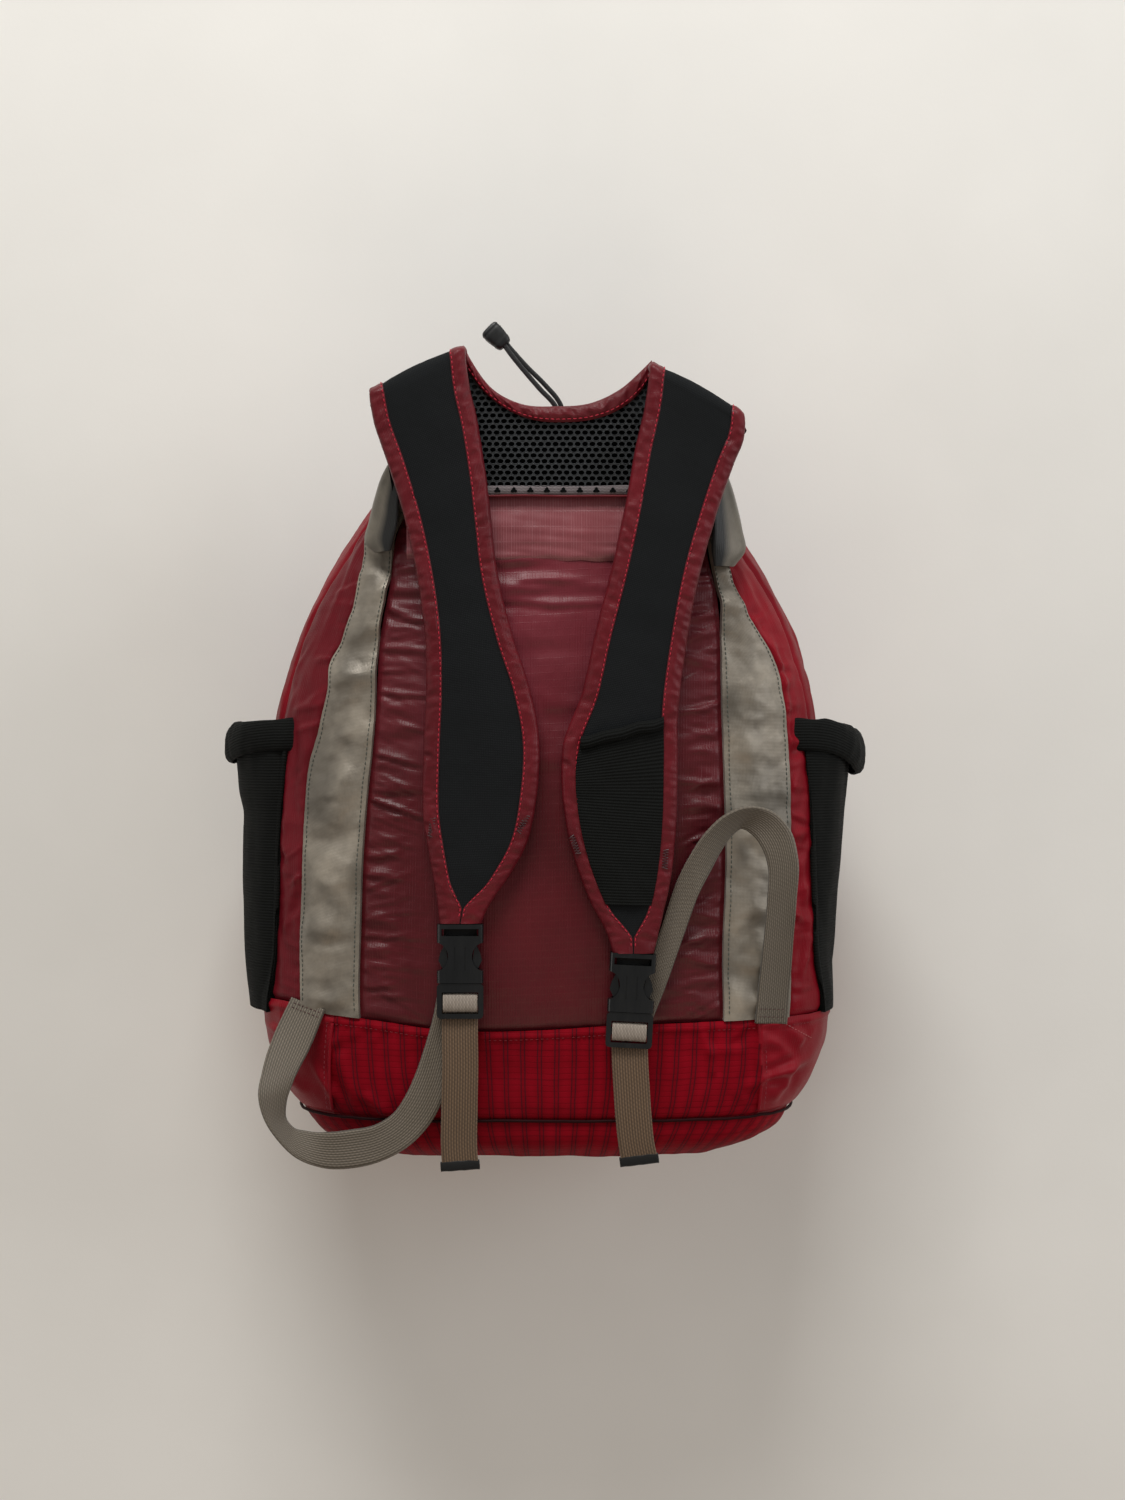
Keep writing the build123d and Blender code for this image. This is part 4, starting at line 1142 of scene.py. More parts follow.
def base():
    """Turned lower edge of the bag and its underside."""
    lower = np.linspace(0.0, 7.0, 9)
    upper = np.linspace(7, BASE_TOP, max(6, int(18 / STEP)))[1:]
    _, points, _ = panel("base_cloth", np.concatenate([lower, upper]), ROUND_SEAMS,
                         ROUND_WIDTHS, base_relief, BOOT, replaces=("base_panel",),
                         tuck=(0, 0, 0, 1))
    outline = points[0]
    centre = outline.mean(0)
    rings = [outline]
    for size in np.linspace(1, 0.02, 26)[1:]:
        inner = centre + (outline - centre) * size
        ripple = 0.35 * pnoise(inner[:, 0] / 30, inner[:, 1] / 30, 1.0)
        inner[:, 2] = 0.25 + 1.2 * (1 - size) ** 1.5 + ripple * smooth(0, 0.25, 1 - size)
        rings.append(inner)
    rings = np.array(rings)
    dress(grid_object("base_underside", rings, rings[..., :2]), BOOT, "pack")


def base_piping():
    level = np.array([25.0])
    angle = span(level, np.array([-1.5 * math.pi]), np.array([0.5 * math.pi]), 361)[0]
    x, y = ring(np.full_like(angle, level[0]), angle)
    path = xyz(x * 1.004, y * 1.006, level[0] + 0.5 * pnoise(angle * 9, 0.3, 0.1))
    piping = nylon("piping", (0.016, 0.0014, 0.0022), rough=0.6, line=0.02, spec=0.1)
    obj = tube("base_seam_piping", path[:-1], 0.9, piping, sides=8,
               up=(0, 0, 1), capped=False, replaces=("base_piping",))
    obj.data.flip_normals()


def boot_edge_stitches():
    x = np.linspace(-158, 158, 240)
    z = table(BOOT_EDGE, x) - 5.2
    x, y = harness_point(x, z)
    stitches("boot_edge_stitch", xyz(x, y - 1.2, z), [0, -1, 0],
             thread("stitch_boot", (0.17, 0.007, 0.014)),
             pitch=3.0, length=1.8, radius=0.2)


boot()
for side, hand in SIDES:
    boot_corner(side, hand)
base()
base_piping()
boot_edge_stitches()

# ------------------------------------------------------------------ front, flap and top
FLAP_RADIUS = 107.0


def front_pair(names, z_rows, tuck=(1, 1, 1, 1)):
    """Right and left half of the front, joined."""
    return join([panel(name, z_rows, [("front", side), ("front centre", side)][::side],
                       [FRONT_SPAN], front_relief, RED, body=None, tuck=tuck)[0]
                 for name, side in zip(names, (1, -1))])


def front_cloth():
    """One cloth from the boot up into the flap, across the hinge line."""
    def cut(centre):
        x, _, z = centre
        return (z > 273 and abs(x) > 104) or (z > 284 and zip_polar(centre)[0] > 106.5)

    obj = front_pair(("front_cloth", "front_cloth_l"), heights(BOOT_TOP, 303))
    drop_faces(obj, cut)
    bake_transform(obj)
    dress(obj, RED, replaces=("front_panel", "flap_hinge_fabric"))


def above_zip_plane(radius, turn):
    """Points of the zip's plane, and the height of the bag's surface above each."""
    foot = (ZIP_CENTRE + (radius * np.cos(turn))[..., None] * ZIP_UP
            + (radius * np.sin(turn))[..., None] * ZIP_ACROSS)
    low, high = np.full(radius.shape, -40.0), np.full(radius.shape, 60.0)
    for _ in range(30):
        middle = (low + high) / 2
        x, y, z = np.moveaxis(foot + middle[..., None] * ZIP_NORMAL, -1, 0)
        inside = (y < front_y(x, np.minimum(z, 436))) & (z < 436)
        low = np.where(inside, middle, low)
        high = np.where(inside, high, middle)
    return foot, (low + high) / 2


def flap():
    """Polar sheet inside the zip, seated on the zip's plane at its rim."""
    turn = np.linspace(-math.pi, math.pi, steps(260))
    radius = np.linspace(0.5, FLAP_RADIUS, steps(70))
    radius, turn = np.meshgrid(radius, turn, indexing="ij")
    across, up = radius * np.sin(turn), radius * np.cos(turn)
    foot, height = above_zip_plane(radius, turn)
    rim = smooth(70, 106, radius)
    height = height * (1 - rim) + rim
    z = (foot + height[..., None] * ZIP_NORMAL)[..., 2]
    height = height - 2.2 * (1 - smooth(299, 309, z))
    height = height + (1 - rim) * (0.9 * fbm(up / 50, across / 50, 3.0, 3)
                                   + 0.3 * pnoise(up / 8, across / 8, 1.0))
    obj = grid_object("flap_cloth", foot + height[..., None] * ZIP_NORMAL,
                      np.stack([across, up], -1), flip=True)
    drop_faces(obj, lambda centre: centre[2] < 296.4)
    dress(obj, RED, "flap", replaces=("front_flap",))


def within_zip(centre):
    """Whether a face lies in the opening that the zip and the flap fill."""
    radius, _, above = zip_polar(centre)
    return (abs(above) < 45 and centre[1] > -40 and radius < ZIP_SHELL_RADIUS
            and centre[2] > 284)


def top_cloth():
    upper = np.linspace(430, BAG_TOP, 10)[1:]
    walls, points, _ = panel("top_cloth", np.concatenate([heights(SIDE_TOP, 430), upper]),
                             ROUND_SEAMS, ROUND_WIDTHS, top_relief, RED, body=None,
                             tuck=(0, 0, 0, 0))
    outline = points[-1]
    centre = outline.mean(0)
    rings = []
    for size in np.linspace(1, 0.03, 10):
        inner = centre + (outline - centre) * size
        inner[:, 2] = outline[:, 2] + 1.2 * (1 - size * size)
        rings.append(inner)
    rings = np.array(rings)
    cap = dress(grid_object("top_cap", rings, rings[..., :2]), RED)
    obj = join([walls, cap])
    drop_faces(obj, within_zip)
    dress(obj, RED, "pack", replaces=("top_gusset",))


def front_corners():
    """The front's upper corners, beside the hinge and below the ends of the zip."""
    def cut(centre):
        radius, turn, _ = zip_polar(centre)
        return abs(centre[0]) < 103.6 or (turn < 104.5 and radius < ZIP_SHELL_RADIUS)

    obj = front_pair(("front_corner", "front_corner2"), heights(268, 296), tuck=(0, 0, 0, 0))
    drop_faces(obj, cut)
    dress(obj, RED, "pack")


front_cloth()
flap()
top_cloth()
front_corners()
for obj in main_sides:
    drop_faces(obj, within_zip)

# ------------------------------------------------------------------ zips and front pocket
# coil tooth: outward from the coil line, above the tape, half width; two vertices at each
TOOTH = [(0.2, 0, 0.45), (0.9, 1.75, 0.5), (3.4, 1.75, 0.4), (3.6, 0.6, 0.4)]
TOOTH_FACES = [(0, 1, 3, 2), (2, 3, 5, 4), (4, 5, 7, 6), (0, 2, 4, 6), (1, 7, 5, 3)]

for name in ("main_zip_fixed_half", "main_zip_flap_half", "front_pocket_zip"):
    dress(NODES[name], ZIP_TAPE)


def main_zip_half(half, body, outward):
    """Teeth, cloth hem and hem stitches on the outer (+1) or inner (-1) side of the coil."""
    count = steps(240)
    verts = []
    for k in range(count):
        turn = math.radians(-104 + 208 * (k + (0.5 if outward > 0 else 0.0)) / count)
        radial = ZIP_UP * math.cos(turn) + ZIP_ACROSS * math.sin(turn)
        tangent = -ZIP_UP * math.sin(turn) + ZIP_ACROSS * math.cos(turn)
        for away, above, half_width in TOOTH:
            middle = (ZIP_CENTRE + radial * (ZIP_RADIUS + outward * away)
                      + ZIP_NORMAL * (above + 0.1))
            verts += [middle - tangent * half_width, middle + tangent * half_width]
    dress(small_parts(f"zip_teeth_{half}", verts, TOOTH_FACES, 8, shade=False), TEETH, body)

    turns = np.radians(np.linspace(-105, 105, 300))

    def arc(offset, above):
        radius = ZIP_RADIUS + outward * offset
        return (ZIP_CENTRE + np.cos(turns)[:, None] * ZIP_UP * radius
                + np.sin(turns)[:, None] * ZIP_ACROSS * radius + ZIP_NORMAL * above)

    tube(f"zip_hem_{half}", arc(14.0, 0.9), 1.9, RED, sides=8, body=body,
         up=ZIP_NORMAL, squash=(0.8, 1.2))
    stitches(f"zip_hem_stitch_{half}", arc(14.6, 2.5), ZIP_NORMAL, DARK_THREAD,
             pitch=3.0, length=2.0, radius=0.28, body=body)


POCKET_HALF_WIDTH, POCKET_LOW, POCKET_HIGH = 92, 86, 186
POCKET_ZIP_Z = 178.5
# block tooth: x, y, z; the second row of teeth is its mirror in z
POCKET_TOOTH = [(-0.4, 0, 2.0), (0.4, 0, 2.0), (0.4, 1.0, 1.3), (-0.4, 1.0, 1.3)]
POCKET_TOOTH_FACES = [(0, 1, 2, 3), (4, 7, 6, 5), (3, 2, 6, 7), (0, 3, 7, 4), (1, 5, 6, 2)]


def front_pocket():
    """Raised cloth box on the front with a slot for its zip."""
    x, z = np.meshgrid(np.linspace(-POCKET_HALF_WIDTH, POCKET_HALF_WIDTH, steps(140)),
                       np.linspace(POCKET_LOW, POCKET_HIGH, steps(80)))
    from_side = POCKET_HALF_WIDTH - np.abs(x)
    from_end = np.minimum(z - POCKET_LOW, POCKET_HIGH - z)
    from_edge = np.minimum(from_side, from_end)
    height = (11.0 * (1 - np.exp(-from_edge / 2.2))
              + 2.2 * smooth(0, 40, from_side) * smooth(0, 30, from_end)
              + 0.8 * fbm(x / 45, z / 40, 9.0, 3) * smooth(0, 12, from_edge)
              + 0.3 * pnoise(x / 7, z / 7, 4.0))
    flat = np.exp(-((z - POCKET_ZIP_Z) / 5.2) ** 4) * smooth(8, 13, from_side)
    height = height * (1 - flat) + 10.2 * flat
    points = xyz(x, front_y(x, z) + height, z)
    obj = grid_object("front_pocket_cloth", points, points[..., ::2], flip=True)
    drop_faces(obj, lambda centre: abs(centre[0]) < 79.6 and 173.2 < centre[2] < 183.8)
    dress(obj, RED, "pack", replaces=("front_pocket",))

    count = steps(120)
    verts = []
    for k in range(count):
        x = -78.5 + 157 * (k + 0.5) / count
        y = float(front_y(x, POCKET_ZIP_Z)) + 11.0
        verts += [(x + dx, y + dy, POCKET_ZIP_Z + end * dz)
                  for end in (-1, 1) for dx, dy, dz in POCKET_TOOTH]
    dress(small_parts("front_pocket_teeth", verts, POCKET_TOOTH_FACES, 8, shade=False), TEETH,
          "pack")


main_zip_half("fixed", "pack", 1)
main_zip_half("flap", "flap", -1)
front_pocket()

# ------------------------------------------------------------------ stretch side pockets
POCKET_X, POCKET_Y = 152, 6            # axis of the rounded pockets
# z, reach outward in x from the axis
POCKET_REACH = {
    -1: [(82, 32), (110, 34.8), (150, 36), (190, 35.6), (203, 35.6), (214, 39), (228, 40.4),
         (247, 41.2)],
    1: [(82, 22), (110, 25), (150, 28.5), (190, 32), (215, 33.5), (232, 35), (247, 36)]}
# z, half depth in y
POCKET_DEPTH = [(82, 53), (110, 58), (150, 60), (200, 61), (228, 62), (247, 62)]
HEM_REACH = {-1: 41.0, 1: 37.5}
HEM_DROOP = {-1: 8.0, 1: 15.0}
HEM_HEIGHT = 19.2
# section of the folded hem: outward, up
HEM_PROFILE = [
    (2.2, 0), (4.6, 0.6), (6.4, 2.4), (7.4, 5.2), (7.6, 8.6), (7.2, 12), (6.2, 15.2),
    (4.6, 17.6), (2.6, 19), (0.4, HEM_HEIGHT), (-1.4, 18), (-2.4, 15.6), (-2.8, 11)]


def side_pocket(side, hand):
    count = steps(150)
    turn, z = np.meshgrid(np.radians(np.linspace(-118, 118, count)),
                          np.linspace(83.5, 247, steps(130)))
    x = POCKET_X + table(POCKET_REACH[side], z) * np.cos(turn)
    y = POCKET_Y + table(POCKET_DEPTH, z) * np.sin(turn)
    # The pocket stays outside the stuffed bag.
    half_width, middle, half_depth = section(z)
    depth_share = np.clip(np.abs((y - middle) / half_depth), 0, 1)
    bag_x = half_width * (1 - depth_share ** 3.1) ** (1 / 3.1)
    x = np.where(np.abs(turn) < math.radians(104), np.maximum(x, bag_x + 3.4), x)
    # Stretch folds run down from the hem.
    fold = (smooth(150, 247, z) * 1.3 * pnoise(turn * 4.0, z / 90, 3.0 + side)
            + 0.8 * fbm(turn * 2, z / 40, 1.0 + side, 2))
    points = xyz(side * (x + fold * np.cos(turn)), y + fold * np.sin(turn), z)
    obj = grid_object(f"pocket_cloth_{hand}", points, np.stack([turn * 50, z], -1),
                      flip=side < 0)
    solidify(obj, 1.2)
    dress(obj, STRETCH, "pack", replaces=(f"side_pocket_{hand}",))
    pocket_hem(side, hand, count)


def pocket_hem(side, hand, count):
    """Cuff folded over to the outside, drooping at its outer end."""
    turn = np.radians(np.linspace(-112, 112, count))
    outer = np.cos(turn).clip(0, 1)
    droop = HEM_DROOP[side] * outer ** 3
    rows = []
    for outward, up in HEM_PROFILE:
        share = up / HEM_HEIGHT
        wave = (2.6 * pnoise(turn * 3.0, share * 0.9, 7.0 + side)
                + 1.3 * pnoise(turn * 8.0, share * 1.4, 2.0 + side))
        reach = HEM_REACH[side] + outward * (0.55 + 0.45 * outer) + wave * 0.7
        x = POCKET_X + reach * np.cos(turn)
        y = POCKET_Y + (62 + outward * 0.35 + wave * 0.3) * np.sin(turn)
        z = (239.5 + up - droop * (1 - 0.55 * share)
             + 2.4 * pnoise(turn * 2.4, 0.2, 4.0 + side) * share)
        rows.append(xyz(side * x, y, z))
    points = np.array(rows)
    obj = grid_object(f"pocket_hem_cloth_{hand}", points, metric_uv(points), flip=side < 0)
    solidify(obj, 0.8)
    dress(obj, STRETCH, "pack", replaces=(f"pocket_hem_{hand}",))


for side, hand in SIDES:
    side_pocket(side, hand)

# ------------------------------------------------------------------ yoke
# x, z of the neck binding's upper and lower edge
NECK_TOP = [
    (-47.3, 473.4), (-42.1, 463.5), (-28.9, 446), (-12.8, 437.6), (6.3, 436.2), (25.8, 438.2),
    (43.1, 446.9), (55.4, 458.4), (61.6, 464.7)]
NECK_LOW = [
    (-46, 461), (-33.2, 445.1), (-18.5, 435), (-3.8, 430.2), (10.9, 429.4), (25.8, 430.7),
    (41.7, 436.2), (56.4, 449), (60.4, 455.7)]
NECK_LOW_X, NECK_LOW_Z = np.array(NECK_LOW).T

MESH_Y = -87.4
MESH_PITCH_X, MESH_PITCH_Z = 4.25, 3.30
CELL_SIDES = 12
# rings round each hole behind its hexagonal border: growth in x and z, y offset
CELL_RINGS = [(0.2, 0.16, -0.15), (0, 0, 0.25), (0.15, 0.1, 1.7)]


def spacer_mesh():
    """Open mesh of oval holes in a staggered lattice, below the neck binding."""
    angle = 2 * math.pi * np.arange(CELL_SIDES) / CELL_SIDES
    c, s = np.cos(angle), np.sin(angle)
    hexagon = 1.0 / np.maximum.reduce([np.abs(c), np.abs(0.5 * c + 0.866 * s),
                                       np.abs(0.5 * c - 0.866 * s)])
    border_x = MESH_PITCH_X / 2 * hexagon * c
    border_z = MESH_PITCH_Z / 0.866 / 2 * hexagon * s
    verts = []
    for row, z in enumerate(np.arange(390, 462, MESH_PITCH_Z)):
        for x in np.arange(-62 + (MESH_PITCH_X / 2 if row % 2 else 0), 72, MESH_PITCH_X):
            top = np.interp(x, NECK_LOW_X, NECK_LOW_Z) + 2.5
            if not (390 < z < top and -60 < x < 70):
                continue
            y = MESH_Y + 0.9 * float(pnoise(x / 40, z / 40, 2.0)) + 1.4 * ((x - 5) / 60) ** 2
            half_x = 1.71 + 0.10 * float(pnoise(x / 9, z / 9, 1.0))
            half_z = 1.33 + 0.07 * float(pnoise(x / 7, z / 7, 4.0))
            verts.append(xyz(x + border_x, y + 0.35, z + border_z))
            verts += [xyz(x + (half_x + grow_x) * c, y + offset, z + (half_z + grow_z) * s)
                      for grow_x, grow_z, offset in CELL_RINGS]
    rings = len(CELL_RINGS) + 1
    obj = small_parts("yoke_spacer_mesh", np.concatenate(verts),
                      grid_faces(rings, CELL_SIDES, closed=True), rings * CELL_SIDES)
    dress(obj, SPACER, "pack")


def yoke_backing():
    """Pad behind the mesh, rising behind the straps."""
    count = steps(110)
    wing = int(count * 0.3)
    share = np.linspace(0, 1, steps(70))[:, None]
    low_x = -88 + 184 * np.linspace(0, 1, count)
    top_x = np.concatenate([np.linspace(-96, -48, wing), np.linspace(-48, 58, count - 2 * wing),
                            np.linspace(58, 110, wing)])
    top_z = np.interp(top_x, [-96, -50, *NECK_LOW_X, 62, 110],
                      [436, 455, *(NECK_LOW_Z + 3), 448, 425])
    x = low_x * (1 - share) + top_x * share
    z = 388.0 * (1 - share) + top_z * share
    points = xyz(x, -84.9 + 1.2 * pnoise(x / 40, z / 40, 1.0), z)
    obj = grid_object("yoke_backing", points, points[..., ::2])
    solidify(obj, 4.0)
    dress(obj, BACKING, "pack", replaces=("yoke_pad",))


def neck_roll():
    """Puckered binding round the neck opening, with its row of stitches."""
    count = steps(260)
    face_y, bulge, pucker, pitch = -87.6, 2.0, 1.5, 8.5
    top = resample([(x, z + 1.8 * max(0.0, 1 - ((x - 7) / 50.0) ** 2)) for x, z in NECK_TOP],
                   count)
    low = resample([(x, z - 0.6) for x, z in NECK_LOW], count)
    length = path_length(top)
    rows = []
    for share in np.linspace(0, 1, 14):
        x, z = (low + (top - low) * share).T
        folds = (0.6 * ridge(length / pitch, share * 1.2, 1.0)
                 + 0.5 * pnoise(length / (pitch * 0.45), share * 2.2, 4.0))
        folds = pucker * folds * math.sin(math.pi * (0.08 + 0.84 * share))
        rows.append(xyz(x, face_y - math.sin(math.pi * share) ** 0.7 * bulge - folds, z))
    # over the top edge and down behind it
    for share in np.linspace(0, 1, 6)[1:]:
        drop = 0.6 * math.sin(share * math.pi) - share * 0.8
        rows.append(xyz(top[:, 0], face_y + share * 4.5, top[:, 1] + drop))
    points = np.array(rows)
    dress(grid_object("neck_roll", points, metric_uv(points)[..., ::-1]), BINDING, "pack",
          replaces=("neck_binding",))
    x, z = (low + (top - low) * 0.16).T
    stitches("neck_stitch", xyz(x, -89.6, z), [0, -1, 0], RED_THREAD,
             pitch=3.2, length=2.2, radius=0.3)


# section of the trim tape: z from its middle, y
TRIM_PROFILE = [(-2.8, -86.6), (-2.3, -87.5), (0, -87.8), (2.3, -87.5), (2.8, -86.6)]


def trim_tape():
    """Tape under the mesh with a thin edge below it and a row of small dark dashes."""
    x = np.linspace(-60, 72, steps(200))
    middle = 389.6 + 0.5 * pnoise(x / 30, 0.2, 0.0)
    points = np.array([xyz(x, y + 0.25 * pnoise(x / 9, dz, 1.0), middle + dz)
                       for dz, y in TRIM_PROFILE])
    dress(grid_object("trim_tape", points, metric_uv(points)[..., ::-1]),
          ribbed_webbing("trim_grey", srgb(97, 89, 91), rib=0.9), "pack",
          replaces=("yoke_trim_tape",))
    x = np.linspace(-58, 70, 60)
    tube("trim_edge", xyz(x, -87.3, 386.4 + 0.4 * pnoise(x / 22, 0.3, 7.0)), 0.75, BINDING,
         sides=8, up=(0, 0, 1))
    verts = []
    angle = 2 * math.pi * np.arange(12) / 12
    radius = 1.75 * (1 + 0.28 * np.cos(3 * angle + math.pi / 2))
    for k in range(14):
        x = -56 + 9.5 * k
        verts += [xyz(x + radius * np.cos(angle), -88.35, 389.5 + 0.85 * radius * np.sin(angle)),
                  [(x, -88.2, 389.5)]]
    fan = [(i, (i + 1) % 12, 12) for i in range(12)]
    dress(small_parts("trim_dashes", np.concatenate(verts), fan, 13), BACKING, "pack")


def upper_band():
    """Band across the back, below the trim tape, painted paler and pinker than the maroon as a
    highlight.
    """
    low, tall = 350.5, 36.5
    x, z = np.meshgrid(np.linspace(-80, 80, steps(150)),
                       np.linspace(low, low + tall, steps(40)))
    share = (z - low) / tall
    z = z + (1 - share) ** 2 * (1.6 * pnoise(x / 17, 0.3, 2.0) - 0.9)
    y = (-85.9 + 3.2 * share - 1.3 * np.sin(share * math.pi)
         + 0.35 * pnoise(x / 30, z / 12, 2.0)
         + 0.7 * (1 - share).clip(0) ** 1.5 * ridge(x / 46, z / 6.5, 6.0)
         + 0.25 * pnoise(x / 9, z / 9, 6.0))
    turned = 0.06                      # share of the height tucked in at the lower edge
    y = np.where(share < turned, y + 1.4 * (1 - share / turned), y)
    points = xyz(x, y, z)
    # Painted highlight: the band's pale pink colour and paler thread lines stand for the light
    # on its upward-tilted cloth.
    cloth = nylon("band_cloth", srgb(120, 58, 64, level=1.1), rough=0.36, line=0.26,
                  line_pitch=1.5, cross_pitch=9.0, vary=0.16,
                  bright=srgb(170, 120, 124, level=1.1))
    dress(grid_object("upper_band_cloth", points, points[..., ::2]), cloth, "pack",
          replaces=("upper_back_band",))


spacer_mesh()
yoke_backing()
neck_roll()
trim_tape()
upper_band()

# ------------------------------------------------------------------ stabiliser wings
# The wing's inner strip under the strap is painted black as shade.
WING_CLOTH = coated("wing_grey", srgb(96, 90, 80), painted_shade_below=(5.0, 8.5))
# lines from top to bottom: the outer edge, the inner edge by the strap, the far edge behind
WINGS = {
    "left": (
        [(-90, -80, 407), (-95, -78, 398), (-99, -76, 386), (-102.5, -75, 373),
         (-104.5, -76, 361), (-98, -79, 354.5)],
        [(-82, -84, 400), (-83.5, -86, 392), (-84.5, -87, 383), (-85, -87.3, 373),
         (-87, -87, 363), (-89, -85.5, 355)],
        [(-84, -55, 415), (-90, -52, 403), (-95, -50, 390), (-98, -52, 376), (-99, -60, 364),
         (-96, -70, 356)]),
    "right": (
        [(104, -80, 402), (107.5, -78, 392), (111, -76, 380), (114, -75, 368),
         (116, -76, 357), (108, -79, 346.5)],
        [(97, -84, 398), (97, -86, 388), (96.5, -87, 378), (96.5, -87.3, 368), (96, -87, 356),
         (97.5, -85.8, 346)],
        [(100, -55, 408), (106, -52, 397), (110, -50, 384), (112, -52, 370), (112, -60, 358),
         (108, -70, 349)])}


def wing(side, hand):
    """Sheet from the inner edge round the outer edge to the far edge."""
    count, turn_share = steps(110), 0.55
    outer, inner, far = (resample(line, count) for line in WINGS[hand])
    rows = []
    for share in np.linspace(0, 1, 17):
        if share < turn_share:
            t = share / turn_share
            row = inner * (1 - t) + outer * t
            row[:, 1] -= 1.1 * math.sin(math.pi * t * 0.9) ** 0.8
        else:
            t = (share - turn_share) / (1 - turn_share)
            row = outer * (1 - t) + far * t
            row[:, 0] += side * 2.0 * math.sin(math.pi * t)
        rows.append(row)
    points = np.array(rows)
    points[..., 1] += 0.8 * pnoise(points[..., 2] / 16, points[..., 0] / 16, 3.0)
    v, u = np.meshgrid(np.linspace(0, 60, count), np.linspace(0, 26, 17))
    obj = grid_object(f"wing_{hand}", points, np.stack([u, v], -1))
    solidify(obj, 1.2, offset=0.0)
    dress(obj, WING_CLOTH, "pack", replaces=(f"stabiliser_{hand}",))


for side, hand in SIDES:
    wing(side, hand)

# ------------------------------------------------------------------ shoulder straps
# x, z of each strap's left and right edge, from the fold at the top down to the tip
STRAP_EDGES = {
    "left": (
        [(-100.3, 445.8), (-96.9, 427), (-88, 400.7), (-78.6, 368.8), (-74.1, 348.3),
         (-67.8, 302.7), (-67.2, 273.6), (-68.7, 237.2), (-68.7, 200.9), (-65.8, 181.9),
         (-60.7, 152.8), (-59.4, 141)],
        [(-46.7, 471.4), (-44.4, 450.3), (-39.3, 427), (-34.7, 397.9), (-31.3, 368.8),
         (-29, 348.3), (-18.5, 302.7), (-9.1, 273.6), (-4, 244.6), (-5.4, 215.5),
         (-11.4, 186.4), (-23.6, 164.8), (-33.5, 149.9), (-37.4, 141)]),
    "right": (
        [(61, 461.7), (58.7, 441.5), (52.5, 412.4), (47.3, 383.3), (39.9, 348.3),
         (28.5, 302.7), (21.7, 272.1), (10.9, 241.7), (10.1, 223.5), (14.7, 188.1),
         (26.8, 153.1), (37, 133.2), (39.4, 124)],
        [(114, 432.7), (113.2, 420), (106, 400.7), (94.6, 366), (89.5, 348.3), (80.4, 302.7),
         (75, 257.1), (75, 226.3), (74.1, 195.8), (71.3, 168.2), (65, 138.7), (61.4, 124)])}
STRAP_Y = -99.0
FOLD_RADIUS = 5.6
FOLD_ROWS = 26
# y, z from the tip's edge, of the webbing that leaves the tip
TIP_PROFILE = [(-94, 6), (-95.4, 3), (-96.4, 0.5), (-96.6, -3), (-95.8, -6.4), (-94.4, -7.4)]


def fold_line(hand):
    """The fold's two ends, and the direction in x and z up and away from the strap."""
    left, right = (np.array(edge[0]) for edge in STRAP_EDGES[hand])
    along = (right - left) / np.linalg.norm(right - left)
    return left, right, np.array([-along[1], along[0]])


def strap_frame(hand):
    """Left and right edge points and face normals, over the fold and down to the tip."""
    _, _, away = fold_line(hand)
    count = steps(270)
    edges = [resample(edge, count) for edge in STRAP_EDGES[hand]]
    around = np.linspace(math.radians(235), 0, FOLD_ROWS)
    c, s = np.cos(around), np.sin(around)
    middle = (edges[0] + edges[1]) / 2
    below_fold = (middle - middle[0]) @ -away >= FOLD_RADIUS + 0.6
    phase = 0 if hand == "left" else 1.5
    flat_y = STRAP_Y + 0.5 * np.sin(np.linspace(0, 1, count) * 7.0 + phase) - 0.4
    lines = []
    for edge in edges:
        lead = edge[6] - edge[0]
        lead = lead / (lead @ -away)
        x, z = (edge[0] + lead * (FOLD_RADIUS * (1 - s))[:, None]).T
        fold = xyz(x, STRAP_Y + 5.5 - FOLD_RADIUS * c, z)
        lines.append(np.concatenate([fold, xyz(edge[:, 0], flat_y, edge[:, 1])[below_fold]]))
    normals = np.concatenate([xyz(away[0] * s, -c, away[1] * s),
                              np.tile([0, -1.0, 0], (below_fold.sum(), 1))])
    return lines[0], lines[1], normals


